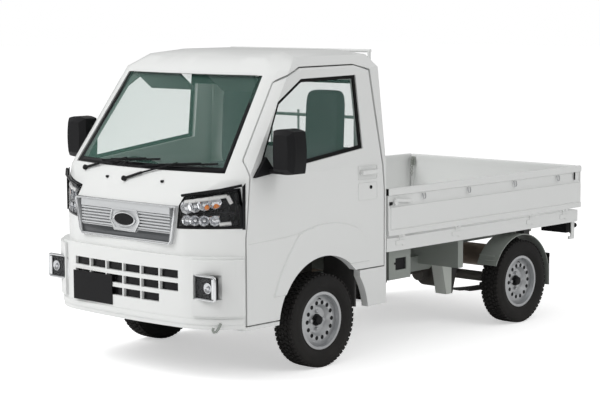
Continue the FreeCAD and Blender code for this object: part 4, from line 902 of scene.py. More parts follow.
@dataclass
class Stage:
    """The floor, the soft light and the camera of the photograph.

    Attributes:
        floor: the floor's length.
        place: the camera's place.
        azimuth: how far it stands round from the front, in degrees.
        pitch: how far it looks down, in degrees.
        roll: its roll, in degrees.
        lens: its focal length on a 36 mm sensor.
        sky: the sky's mean strength.
        glow: how strongly the floor shines toward the camera.
        lamps: each lamp's name, place, aim and power; only the second shows in mirrors.
        lamp_size: the lamps' diameter.
    """

    floor: float = 120.0
    place: Triple = (7.272, -8.0669, 2.0461)
    azimuth: float = 42.9346
    pitch: float = 6.3865
    roll: float = -0.1936
    lens: float = 105.43
    sky: float = 0.50
    glow: float = 0.50
    lamps: tuple[tuple[str, Triple, Triple, float], ...] = (
        ("key", (-3.5, -7.5, 7.0), (0, -0.6, 0.9), 496.0),
        ("side", (9.0, 1.0, 6.5), (0, 0.2, 0.6), 192.0),
    )
    lamp_size: float = 6.0

    def build(self) -> None:
        """Build the floor, the world, the lamps and the camera."""
        self.camera()
        self.ground()
        self.world()
        self.lights()
        view = bpy.context.scene.view_settings
        view.view_transform = "Standard"
        view.look = "None"

    def camera(self) -> None:
        """Set the camera as the photograph's was."""
        turn, down, roll = (math.radians(value) for value in (self.azimuth, self.pitch, self.roll))
        back = Vector((math.sin(turn) * math.cos(down), -math.cos(turn) * math.cos(down), math.sin(down)))
        right = (-back).cross(Vector((0, 0, 1))).normalized()
        above = right.cross(-back)
        right, above = (math.cos(roll) * right + math.sin(roll) * above,
                        math.cos(roll) * above - math.sin(roll) * right)
        clear_selection()
        bpy.ops.object.camera_add(location=self.place)
        camera = bpy.context.object
        camera.name = "photo_camera"
        facing = Matrix((right, above, back)).transposed().to_4x4()
        camera.matrix_world = Matrix.Translation(self.place) @ facing
        camera.data.lens = self.lens
        camera.data.sensor_width = 36
        camera.data.clip_end = 300
        bpy.context.scene.camera = camera

    def ground(self) -> None:
        """Lay the pale floor."""
        clear_selection()
        bpy.ops.mesh.primitive_plane_add(size=self.floor, location=(0, 0, 0))
        floor = bpy.context.object
        floor.name = "studio_floor"
        material, tree, shader, place = new_material("studio_floor")
        drift = grouped(tree, "grain", {"Place": place}).outputs["Drift"]
        seen = add_node(tree, "LightPath").outputs["Is Camera Ray"]
        glow = add_node(tree, "MapRange", {"To Max": self.glow, "Value": seen})
        fill(tree, shader, {
            "Base Color": mixed(tree, drift, (0.97, 0.97, 0.97), (0.95, 0.95, 0.95)), "Roughness": 0.9,
            "Specular IOR Level": 0.1, "Emission Color": (1, 1, 1, 1),
            "Emission Strength": glow.outputs["Result"]})
        floor.data.materials.append(material)

    def world(self) -> None:
        """Light the scene with a soft pale sky that shows as white behind the truck."""
        world = bpy.data.worlds.new("studio_sky")
        world.use_nodes = True
        tree = world.node_tree
        split = add_node(tree, "SeparateXYZ", {"Vector": add_node(tree, "TexCoord").outputs["Generated"]})
        rise = add_node(tree, "MapRange", {
            "From Min": -0.1, "From Max": 0.9, "To Min": self.sky * 0.55, "To Max": self.sky * 1.35,
            "Value": split.outputs["Z"]})
        seen = add_node(tree, "LightPath").outputs["Is Camera Ray"]
        bright = add_node(tree, "Mix", {"Factor": seen, "A": rise.outputs["Result"], "B": 1.0})
        fill(tree, tree.nodes["Background"], {"Strength": bright.outputs["Result"], "Color": (1, 1, 1, 1)})
        bpy.context.scene.world = world

    def lights(self) -> None:
        """Hang a wide soft key ahead and above, and a weaker one from the truck's left."""
        for name, place, aim, power in self.lamps:
            clear_selection()
            bpy.ops.object.light_add(type="AREA", location=place)
            light = bpy.context.object
            light.name = f"studio_{name}"
            light.data.shape = "DISK"
            light.data.size = self.lamp_size
            light.data.energy = power
            light.visible_glossy = name != "key"
            light.rotation_euler = (Vector(aim) - Vector(place)).to_track_quat("-Z", "Y").to_euler()


@dataclass
class CadFinishes:
    """The finishes of the frame's own nodes.

    Attributes:
        rows: a finish and the nodes that wear it.
    """

    rows: tuple[tuple[Look, tuple[str, ...]], ...] = (
        (WHITE, ("cab_shell", "quarter_left", "quarter_right", "door_left_panel", "door_right_panel",
                 "front_bumper", "door_left_handle", "door_right_handle", "bed_floor", "bed_front_board",
                 "guard_frame", "gate_left", "gate_right", "tailgate", "bed_hinges")),
        (BLACK, ("door_left_mirror", "door_right_mirror", "number_plate_front", "rear_lamps",
                 "steering_column", "interior_mirror", "steering_wheel")),
        (CHASSIS, ("frame_rails", "mudguards", "battery_box")),
        (CAST, ("engine", "propshaft", "rear_axle", "front_suspension", "knuckle_left", "knuckle_right",
                "fuel_tank")),
        (GLASS, ("windshield", "rear_window", "door_left_glass", "door_right_glass")),
        (LENS, ("headlamp_left", "headlamp_right")),
        (CLOTH, ("seat_cushions", "seat_backs")),
        (EXHAUST, ("exhaust",)), (SPRINGS, ("leaf_springs",)), (GRILLE, ("upper_grille",)),
        (CHROME, ("fog_lamps",)), (MAT, ("cab_floor",)), (DASH, ("dashboard",)),
    )

    def build(self) -> None:
        """Give every node its finish."""
        corners = [f"{end.word}_{side.word}" for end in End for side in Side]
        wheels = [(finish, [f"{kind}_{corner}" for corner in corners])
                  for finish, kind in ((SILVER, "wheel"), (RUBBER, "tyre"))]
        for finish, names in (*self.rows, *wheels):
            for name in names:
                self.paint(name, finish)

    @staticmethod
    def paint(name: str, finish: Look) -> None:
        """Put a finish in all of a node's slots.

        Args:
            name: the node's name.
            finish: its finish.
        """
        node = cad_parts[name]
        for place in node.material_slots:
            place.material = finish.material()
        if not node.material_slots:
            node.data.materials.append(finish.material())
        LOG.info("finished %s", name)


def mirrored(half: Sequence[Point]) -> list[Point]:
    """Points of one half of a section, followed by those of its mirrored half."""
    return [*half, *((-across, up) for across, up in reversed(half))]


def oval(centre: Point, half: Point, steps: int = 32) -> list[Point]:
    """The points of an ellipse."""
    return [(centre[0] + half[0] * math.cos(math.tau * step / steps),
             centre[1] + half[1] * math.sin(math.tau * step / steps)) for step in range(steps)]


def seen_ahead(node: str, across: float, level: float) -> Vector:
    """The first point of a node that is seen from straight ahead of the truck."""
    return surface(node, (across, AHEAD_Y, level), FORWARD)


@dataclass
class Wheels:
    """The tyres with their block tread, the nuts, the valves, the hub caps and black discs of painted shade in the
    vents.

    Attributes:
        radius: the tyre's radius.
        width: the tyre's width.
        across: how far a wheel's middle is from the truck's middle.
        blocks: how many tread blocks stand in a row.
        block_high: how tall a block is.
        rows: each tread row's place, width, offset as a share of the pitch, skew and lean in degrees.
        hollow_x: where the wheel's dished middle lies.
        nut_circle: how far the nuts are from the hub's middle.
        valve_radius: how far the valve is from it.
        vents: how many vents the wheel has.
        vent_circle: how far they are from the hub's middle.
    """

    radius: float = 0.2677
    width: float = 0.145
    across: float = 0.65
    blocks: int = 56
    block_high: float = 0.0085
    rows: tuple[tuple[float, float, float, float, float], ...] = (
        (0.0, 0.0200, 0.0, 0.0, 0.0), (0.0235, 0.0190, 0.35, 12.0, 0.0),
        (-0.0235, 0.0190, 0.35, -12.0, 0.0),
        (0.0505, 0.0240, 0.0, 6.0, -5.0), (-0.0505, 0.0240, 0.0, -6.0, 5.0),
    )
    hollow_x: float = 0.014
    nut_circle: float = 0.050
    valve_radius: float = 0.128
    vents: int = 14
    vent_circle: float = 0.102

    def build(self) -> None:
        """Build one wheel's pieces about the origin and copy them to the four hubs."""
        bases = (("tread_tyre", self.tyre(), RUBBER), ("wheel_nuts", self.nuts(), SILVER),
                 # The hub's pieces include black discs of painted shade over the wheel's vents.
                 ("wheel_hub", self.hub(), BLACK))
        for end in End:
            for side in Side:
                corner = f"{end.word}_{side.word}"
                place = Matrix.Translation((self.across * side.value, end.value, AXLE_Z))
                place = place @ Matrix.Rotation(0 if side is Side.LEFT else math.pi, 4, "Z")
                for name, base, finish in bases:
                    tyre = finish is RUBBER
                    dress(f"{name}_{corner}", [copied(base, place)], finish, f"wheel_{corner}",
                          [f"tyre_{corner}"] if tyre else ())
        for _, base, _ in bases:
            bpy.data.objects.remove(base)

    def tyre(self) -> Piece:
        """The carcass with its rounded walls and its rows of tread blocks.

        Returns:
            The tyre, about the origin.
        """
        half = self.width / 2
        floor = self.radius - self.block_high
        wall = [
            (0.050, 0.1565), (0.0555, 0.1585), (0.0565, 0.170), (0.0600, 0.1765), (0.0655, 0.184),
            (half - 0.0012, 0.1985), (half - 0.0004, 0.2010), (half - 0.0002, 0.2120), (half, 0.2160),
            (half - 0.0010, 0.2190), (half - 0.0018, 0.2320), (half - 0.0045, 0.2440), (0.0640, 0.2520),
            (0.0575, floor - 0.0010), (0.0450, floor), (0.0150, floor + 0.0008),
        ]
        pieces = [ring(mirrored(wall), 96)]
        pitch = math.tau / self.blocks
        for across, wide, offset, skew, lean in self.rows:
            extent = (wide, pitch * self.radius * 0.72, self.block_high * 1.3)
            cell = block((0, 0, 0), extent, 0.0012, segments=1)
            drop = 0.0014 if lean else 0.0
            for matrix in (
                Matrix.Rotation(math.radians(skew), 4, "Z"), Matrix.Rotation(math.radians(-lean), 4, "Y"),
                Matrix.Translation((across, 0, self.radius - self.block_high * 0.65 - drop)),
                Matrix.Rotation(pitch * offset, 4, "X"),
            ):
                cell.data.transform(matrix)
            pieces.append(spun(cell, self.blocks))
        return joined("tyre", pieces)

    def nuts(self) -> Piece:
        """The four wheel nuts."""
        out, up = self.hollow_x, self.nut_circle
        return spun(bar((out, 0, up), (out + 0.0135, 0, up), 0.0112, 6, 0.0012), 4)

    def hub(self) -> Piece:
        """The dark hub, the valve, and black discs over the vents' openings: painted shade for the dark seen
        through them.

        Returns:
            The hub, about the origin.
        """
        out, up = self.hollow_x, self.valve_radius
        pieces = [bar((out - 0.001, 0, 0), (out + 0.006, 0, 0), 0.0345, 32, 0.002),
                  bar((out + 0.004, 0, 0), (out + 0.026, 0, 0), 0.0262, 32, 0.004),
                  bar((out + 0.006, 0, up), (out + 0.036, 0, up - 0.006), 0.0034, 12, 0.001)]
        pitch = math.tau / self.vents
        top = self.face_at(0.0)
        turn = 0.0 if top is None or top.x < self.across - 0.02 else pitch / 2
        face = self.face_at(turn + pitch / 2).x - self.across
        # Black discs level with the wheel's face over each vent opening: painted shade standing in for the dark
        # seen through the holes.
        vent_shade = bar((face - 0.004, 0, 0), (face + 0.0006, 0, 0), 0.0125, 16)
        vent_shade.data.transform(Matrix.Rotation(-turn, 4, "X") @ Matrix.Translation((0, 0, self.vent_circle)))
        return joined("hub", [*pieces, spun(vent_shade, self.vents)])

    def face_at(self, angle: float) -> "Vector | None":
        """Where the wheel's face lies at an angle on the vents' circle, or None in an opening."""
        along, up = self.vent_circle * math.sin(angle), self.vent_circle * math.cos(angle)
        return met("wheel_rear_left", (BESIDE_X, End.REAR.value + along, AXLE_Z + up), INWARD)


@dataclass
class Headlamps:
    """The angular headlamps: dark housing, two tiers of bowls, an indicator, a light bar and a clear cover.

    Attributes:
        rim: the black border's width.
        tiers: each tier's height, and how high its bowls are.
        way: the way that the lamp's face looks.
        least: how nearly a face must look that way to belong to it.
    """

    rim: float = 0.013
    tiers: tuple[Point, ...] = ((0.962, 0.074), (0.893, 0.058))
    way: Triple = (0.62, -0.78, 0.12)
    least: float = 0.45

    def build(self) -> None:
        """Build the left lamp's pieces and mirror them."""
        node, aim = "headlamp_left", Vector(self.way).normalized()
        cover = outward(node, self.way, self.least)
        apply_modifier(cover, "SOLIDIFY", thickness=0.0025, offset=-1)
        rim = border(outward(node, self.way, self.least), self.rim, 0.0004, 0.0012)
        housing = keep_faces(node_copy(node), lambda face: face.normal.dot(aim) <= self.least)
        apply_modifier(housing, "SOLIDIFY", thickness=0.0015, offset=1)
        for name, pieces, finish, nodes in (
            ("cover", [smooth(cover)], LENS, ["headlamp_{}"]), ("bezel", [rim], GLOSS_BLACK, ()),
            ("housing", [housing], GLOSS_BLACK, ()), ("bowls", self.bowls(), REFLECTOR, ()),
            ("light_bar", self.light_bar(), WARM, ()), ("indicator", self.indicator(), AMBER, ()),
            ("shelves", self.shelves(), BLACK, ()), ("outer_band", self.outer_band(), GLOSS_BLACK, ()),
        ):
            dress_pair(f"lamp_{name}", pieces, finish, nodes=nodes)

    @staticmethod
    def at(share: float, level: float, inset: float) -> Vector:
        """A point inside the lamp.

        Args:
            share: from 0 at the lamp's inner edge to 1 at the door's seam.
            level: its height.
            inset: how far it lies behind the cover.

        Returns:
            The point.
        """
        across = 0.425 + 0.285 * share
        bow = 0.030 * math.sin(math.pi * share)
        along = -1.652 + 0.192 * share ** 1.25 - bow
        lean = 0.11 * (level - 0.97)
        aim = Vector((0.28 + 0.62 * share, -1.0 + 0.45 * share, 0)).normalized()
        return Vector((across, along + max(0, lean), level)) - aim * inset

    def rod(self, start: Triple, end: Triple, radius: float, facets: int = 10, bevel: float = 0.0) -> Piece:
        """A bar between two places in the lamp, each a share, a level and an inset."""
        return bar(self.at(*start), self.at(*end), radius, facets, bevel)

    def bowls(self) -> list[Piece]:
        """Two tiers of bright faceted bowls with round lamps in them, and a bright back to each tier.

        Returns:
            The bowls, the lamps and the backs.
        """
        made = []
        for level, high in self.tiers:
            for number in range(4):
                spot = (0.14 + 0.165 * number, level + 0.010 * number * (level > 0.92))
                middle, outer = self.at(*spot, 0.030), self.at(*spot, 0.010)
                turn = (outer - middle).to_track_quat("Z", "Y").to_euler()
                clear_selection()
                bpy.ops.mesh.primitive_cone_add(
                    vertices=8, radius1=high * 0.18, radius2=high * 0.5, depth=0.022,
                    end_fill_type="NOTHING", location=(middle + outer) / 2, rotation=turn)
                made.append(apply_modifier(settled(), "SOLIDIFY", thickness=0.001, offset=1))
                made.append(bar(middle, (middle + outer) / 2, high * 0.16, 12, 0.002))
        for (level, high), rise in zip(self.tiers, (0.034, 0.004)):
            made.append(self.rod((0.06, level, 0.044), (0.72, level + rise, 0.040), high * 0.46))
        return made

    def light_bar(self) -> list[Piece]:
        """The pale bar along the lamp's top, which turns down at its outer end, and the low one.

        Returns:
            The bars.
        """
        marks = [(0.10, 0.990, 0.012), (0.32, 1.000, 0.012), (0.55, 1.012, 0.012), (0.80, 1.026, 0.012),
                 (0.86, 0.985, 0.012)]
        radii = (0.0105, 0.0105, 0.0105, 0.0125)
        runs = [self.rod(start, end, radius) for start, end, radius in zip(marks, marks[1:], radii)]
        return [*runs, self.rod((0.70, 0.872, 0.012), (0.86, 0.878, 0.012), 0.012, bevel=0.002)]

    def indicator(self) -> list[Piece]:
        """The amber bulbs of the indicator."""
        return [self.rod((share, level, 0.026), (share, level, 0.012), 0.014, 14, 0.005)
                for share, level in ((0.52, 0.963), (0.66, 0.973))]

    def shelves(self) -> list[Piece]:
        """The dark shelf between the tiers, the lower shelf and the ribbed outer end.

        Returns:
            The shelves and the ribs.
        """
        shelves = [self.rod((0.03, level, 0.016), (0.90, level + 0.006, 0.016), 0.007, 8)
                   for level in (0.926, 0.868)]
        ribs = [self.rod((share, 0.870, 0.010), (share, 1.035, 0.012), 0.0022, 6)
                for share in (0.90 + 0.018 * number for number in range(5))]
        return shelves + ribs

    @staticmethod
    def outer_band() -> list[Piece]:
        """The black strip between the lamp and the door's seam, and along the lamp's top edge.

        Returns:
            The strip and the edge.
        """
        corners = [(-1.480, 0.848), (-1.459, 0.848), (-1.457, 1.096), (-1.480, 1.078)]
        edge = [(0.430, -1.645, 1.024), (0.520, -1.618, 1.040), (0.640, -1.553, 1.062),
                (0.724, -1.480, 1.086)]
        return [outline_plate(corners, 0.7245, 0.0035, 0.001, "X"), piping(edge, 0.0075)]


@dataclass
class Softened:
    """Nodes that are shown with rounded edges in place of sharp ones.

    Attributes:
        rows: a node, its body, its finish and its edges' radius.
    """

    rows: tuple[tuple[str, str, Finish, float], ...] = (
        ("door_left_mirror", "door_left", BLACK, 0.014), ("door_right_mirror", "door_right", BLACK, 0.014),
        ("door_left_handle", "door_left", WHITE, 0.005), ("door_right_handle", "door_right", WHITE, 0.005),
        ("front_bumper", "root", WHITE, 0.004), ("cab_shell", "root", WHITE, 0.016),
        ("gate_left", "gate_left", WHITE, 0.0035), ("gate_right", "gate_right", WHITE, 0.0035),
        ("tailgate", "tailgate", WHITE, 0.0035), ("dashboard", "root", DASH, 0.012),
    )

    def build(self) -> None:
        """Round the sharp edges of a copy of each node."""
        for node, body, finish, width in self.rows:
            piece = node_copy(node)
            with editing(piece):
                bpy.ops.mesh.dissolve_limited(angle_limit=0.01)
            apply_modifier(piece, "BEVEL", width=width, segments=2, limit_method="ANGLE", angle_limit=0.5,
                           use_clamp_overlap=True, miter_outer="MITER_ARC")
            apply_modifier(smooth(piece, 32), "WEIGHTED_NORMAL", weight=50, keep_sharp=True)
            dress(f"{node}_rounded", [piece], finish, body, [node])


@dataclass
class WindshieldTrim:
    """The black bands round the windshield and the rear window, the wipers and the washer nozzles.

    Attributes:
        bands: a band's name, node, way that it looks, width, thickness and finish.
        pivots: where the wipers turn, as x and z.
        ends: where each arm meets its blade, as x and z.
        blade: half a blade's length.
        nozzles: where the nozzles are, as x and z.
        slope: the way that the windshield looks.
    """

    slope: Triple = (0, -0.8, 0.6)
    bands: tuple[tuple[str, str, Triple, float, float, Finish], ...] = (
        ("windshield_band", "windshield", slope, 0.034, 0.0012, GLOSS_BLACK),
        ("rear_window_band", "rear_window", FORWARD, 0.022, 0.002, SEAL),
    )
    pivots: tuple[Point, ...] = ((-0.458, 1.117), (-0.056, 1.084))
    ends: tuple[Point, ...] = ((-0.10, 1.176), (0.300, 1.168))
    blade: float = 0.24
    nozzles: tuple[Point, ...] = ((-0.213, 1.084), (0.236, 1.085))

    def build(self) -> None:
        """Build the bands, the wipers and the nozzles."""
        for name, node, way, width, thick, finish in self.bands:
            dress(name, [border(outward(node, way, 0.5), width, 0.0005, thick)], finish)
        for number, (pivot, end) in enumerate(zip(self.pivots, self.ends)):
            dress(f"wiper_{number}", self.wiper(pivot, end), BLACK)
        for number, (across, level) in enumerate(self.nozzles):
            seat = seen_ahead("cab_shell", across, level)
            nozzle = block((across, seat.y - 0.004, level), (0.018, 0.016, 0.014), 0.004)
            dress(f"washer_nozzle_{number}", [smooth(nozzle)], BLACK)

    def wiper(self, pivot: Point, end: Point) -> list[Piece]:
        """One wiper: its cap, its tapered arm and its blade on the glass.

        Args:
            pivot: where it turns, as x and z.
            end: where the arm meets the blade, as x and z.

        Returns:
            The wiper's pieces.
        """
        base = Vector((pivot[0], seen_ahead("cab_shell", *pivot).y - 0.012, pivot[1]))
        tip = self.on_glass(*end, 0.030)
        bow = Vector((0, -0.006, 0.004))
        foot, top = base + Vector((0, 0.020, -0.006)), base + Vector((0, -0.008, 0.004))
        pieces = [bar(foot, top, 0.015, 20, 0.004),
                  bar(base, base.lerp(tip, 0.35) + bow, 0.0075, 10),
                  bar(base.lerp(tip, 0.33) + bow, tip, 0.0050, 8)]
        for reach, rise, lift, radius, steps in (
            (self.blade, 0.016, 0.009, 0.0052, (-1, -0.5, 0, 0.5, 1)),
            (self.blade * 0.6, 0.010, 0.020, 0.0045, (-1, 0, 1)),
        ):
            marks = [self.on_glass(end[0] + reach * step, end[1] + rise * step, lift) for step in steps]
            pieces += run_of_bars(marks, radius, 8)
        return pieces

    def on_glass(self, across: float, level: float, lift: float) -> Vector:
        """A point off the windshield's outer face."""
        return seen_ahead("windshield", across, level) + Vector(self.slope) * lift


@dataclass
class DoorTrim:
    """The window seals, the mirrors' glass, the locks, the handles' recesses and the pressed crease.

    Attributes:
        seal: the seal's width.
        lock: where the lock is, as y and z.
        recesses: how far each recess's rim stands off the door, its height, its half size, its corners'
            radius and the rim's radius.
        recess_y: where the recesses' middle is along the door.
        crease: the pressed line's points along the door, as y and z.
    """

    seal: float = 0.020
    lock: Point = (-0.437, 0.996)
    recesses: tuple[tuple[float, float, Point, float, float], ...] = (
        (0.0012, 1.083, (0.082, 0.040), 0.010, 0.0024), (0.0008, 0.975, (0.082, 0.050), 0.012, 0.0012),
    )
    recess_y: float = -0.465
    crease: tuple[Point, ...] = ((-1.440, 0.763), (-1.280, 0.769), (-1.074, 0.781), (-0.930, 0.804))

    def build(self) -> None:
        """Build the left door's trim and mirror it."""
        seal = border(outward("door_left_glass", (1, 0, 0.12), 0.5), self.seal, 0.0004, 0.009)
        skin = self.on_skin(*self.lock).x
        lock = bar((skin - 0.002, *self.lock), (skin + 0.0035, *self.lock), 0.011, 24, 0.0015)
        recesses = []
        for out, level, half, corner, radius in self.recesses:
            edge = rounded_box((self.recess_y, level), half, corner)
            recesses.append(piping(at_depth(edge, skin + out, 0), radius, True))
        marks = [self.on_skin(*mark) for mark in self.crease]
        crease = piping([(mark.x + 0.0002, mark.y, mark.z) for mark in marks], 0.0022)
        glass = block((0.852, -1.2025, 1.258), (0.128, 0.004, 0.200), 0.0015)
        rim = block((0.852, -1.2060, 1.258), (0.142, 0.008, 0.214), 0.003)
        for name, pieces, finish in (
            ("handle_recess", recesses, WHITE), ("door_crease", [crease], WHITE),
            ("window_seal", [seal], SEAL), ("door_lock", [lock], GLOSS_BLACK),
            ("mirror_glass", [smooth(glass)], MIRROR), ("mirror_rim", [smooth(rim)], BLACK),
        ):
            dress_pair(name, pieces, finish, "door_{}")

    @staticmethod
    def on_skin(along: float, level: float) -> Vector:
        """A point of the left door's outer face."""
        return surface("door_left_panel", (BESIDE_X, along, level), INWARD)


@dataclass
class GrilleTrim:
    """The grille's bright rims, its dark lower panel and the bare oval.

    Attributes:
        top: half its width and its height at the top edge.
        low: the same at the lower edge.
        front: how far forward its surround comes.
        hexagon: half of the inner hexagon's corners, as x and z.
        panel: the lower panel's corners, as x and z.
        oval_half: half the oval's width and height.
        oval_z: the oval's height.
    """

    top: Point = (0.411, 0.966)
    low: Point = (0.369, 0.759)
    front: float = -1.6775
    hexagon: tuple[Point, ...] = ((-0.104, 0.912), (-0.122, 0.860), (-0.084, 0.803))
    panel: tuple[Point, ...] = (
        (-0.371, 0.812), (-0.104, 0.812), (-0.092, 0.796), (0.092, 0.796), (0.104, 0.812), (0.371, 0.812),
        (0.362, 0.767), (-0.362, 0.767),
    )
    oval_half: Point = (0.086, 0.037)
    oval_z: float = 0.866

    def build(self) -> None:
        """Build the rims, the panel and the oval."""
        (wide, high), (narrow, foot) = self.top, self.low
        around = mirrored([(wide - 0.006, high), (wide, high - 0.010), (narrow + 0.006, foot + 0.022),
                           (narrow - 0.012, foot)])
        disc = oval((0, self.oval_z), self.oval_half)
        rims = [piping(at_depth(around, self.front), 0.0048, True),
                piping(at_depth(mirrored(self.hexagon), -1.6740), 0.0052),
                piping(at_depth(disc, -1.6770), 0.0056, True)]
        dress("grille_bright_rims", rims, CHROME)
        dress("grille_bare_oval", [outline_plate(disc, -1.6740, -0.0040)], GLOSS_BLACK)
        dress("grille_low_panel", [outline_plate(self.panel, -1.6662, -0.0025, 0.0008)], DARK_SILVER)


@dataclass
class FogLamps:
    """The fog lamps: bright frame, dark bezel and a small round lamp at the outer side.

    Attributes:
        middle: the left lamp's middle.
        half: half its frame's width and height.
        bulb_shift: how far outward the round lamp sits.
    """

    middle: Triple = (0.602, -1.650, 0.542)
    half: Point = (0.084, 0.064)
    bulb_shift: float = 0.026

    def build(self) -> None:
        """Build the left lamp's pieces and mirror them."""
        across, along, level = self.middle
        centre = (across, level)
        rim = piping(at_depth(rounded_box(centre, self.half, 0.014), along - 0.002), 0.0075, True)
        cheek = block((across + 0.070, along - 0.001, level), (0.022, 0.012, 0.112), 0.005)
        bezel = outline_plate(rounded_box(centre, (0.082, 0.062), 0.012), along + 0.006, 0.020)
        lamp_x = across + self.bulb_shift
        bowl = ring([(-0.004, 0.024), (-0.004, 0.029), (0.006, 0.029), (0.006, 0.010), (0.002, 0.010)], 24)
        bowl.data.transform(Matrix.Translation((lamp_x, along + 0.004, level))
                            @ Matrix.Rotation(math.pi / 2, 4, "Z"))
        bulb = bar((lamp_x, along + 0.007, level), (lamp_x, along - 0.001, level), 0.011, 16, 0.004)
        cover = outline_plate(rounded_box(centre, (0.079, 0.059), 0.010), along - 0.004, 0.0025)
        for name, pieces, finish, nodes in (
            ("frame", [rim, cheek], CHROME, ["fog_lamps"]), ("bezel", [bezel], GLOSS_BLACK, ["fog_lamps"]),
            ("bowl", [bowl, bulb], REFLECTOR, ()), ("cover", [cover], LENS, ()),
        ):
            dress_pair(f"fog_{name}", pieces, finish, nodes=nodes)


@dataclass
class BumperTrim:
    """The bumper's corner pods and lower lip, its dark screen, the plate's rim and the hook.

    Attributes:
        pod_x: where the left pod starts.
        pod_low: the pod's lower edge.
        pod_top: its upper edge.
        proud: how far it stands off the bumper.
        screen_y: where the screen stands behind the middle of the bumper.
        hook: the tow hook's points, as y and z.
    """

    pod_x: float = 0.516
    pod_low: float = 0.385
    pod_top: float = 0.688
    proud: float = 0.016
    screen_y: float = -1.672
    hook: tuple[Point, ...] = (
        (-1.58, 0.345), (-1.60, 0.318), (-1.615, 0.306), (-1.632, 0.306), (-1.640, 0.318), (-1.634, 0.330))

    def build(self) -> None:
        """Build the pods, the lip, the screen, the plate's rim and the hook."""
        pod = self.raised(self.proud, 0.007, ((self.pod_x, 0, 0), (-1, 0, 0)),
                          ((0, 0, self.pod_low), (0, 0, -1)), ((0, 0, self.pod_top), (0, 0, 1)))
        dress_pair("bumper_pod", [pod], WHITE)
        lip = self.raised(0.0042, 0.002, ((0, 0, 0.368), (0, 0, 1)))
        valance = copied(lip, Matrix.Translation((0, 0.004, -0.024)))
        dress("bumper_lip", [lip], WHITE)
        dress("bumper_valance", [valance], WHITE)
        dress("bumper_screen", [self.screen()], GLOSS_BLACK)
        around = at_depth(rounded_box((-0.253, 0.4625), (0.1635, 0.081), 0.006, 2), -1.6960)
        dress("plate_rim", [piping(around, 0.0014, True, 1)], BLACK)
        dress("tow_hook", [piping(at_depth(self.hook, 0.655, 0), 0.0075)], CHASSIS)

    @staticmethod
    def raised(thick: float, bevel: float, *planes: tuple[Triple, Triple]) -> Piece:
        """Raise the part of the bumper's outer face that lies inside some planes.

        Args:
            thick: how far it stands off the bumper.
            bevel: the radius of its edges.
            planes: a point and an outward normal of each plane.

        Returns:
            The raised part.
        """
        sheet = node_copy("front_bumper")
        keep_faces(sheet, lambda face: face.normal.y < -0.15 or (
            face.normal.x * face.center.x > 0.1 and abs(face.center.x) > 0.69))
        keep_faces(sheet, lambda face: abs(face.normal.z) < 0.8 and face.center.y < -1.47)
        with editing(sheet):
            for place, way in planes:
                bpy.ops.mesh.select_all(action="SELECT")
                bpy.ops.mesh.bisect(plane_co=place, plane_no=way, clear_outer=True)
        apply_modifier(sheet, "SOLIDIFY", thickness=thick, offset=1, use_even_offset=True)
        return smooth(beveled(sheet, bevel, 0.7), 40)

    def screen(self) -> Piece:
        """The dark screen behind the openings, bowed like the bumper.

        Returns:
            The screen.
        """
        clear_selection()
        bpy.ops.mesh.primitive_grid_add(x_subdivisions=14, y_subdivisions=4, size=1)
        sheet = bpy.context.object
        for vertex in sheet.data.vertices:
            across, up = vertex.co.x * 0.88, vertex.co.y
            vertex.co = (across, self.screen_y + 0.022 * (across / 0.45) ** 2, 0.530 + up * 0.20)
        return apply_modifier(sheet, "SOLIDIFY", thickness=0.003, offset=0)


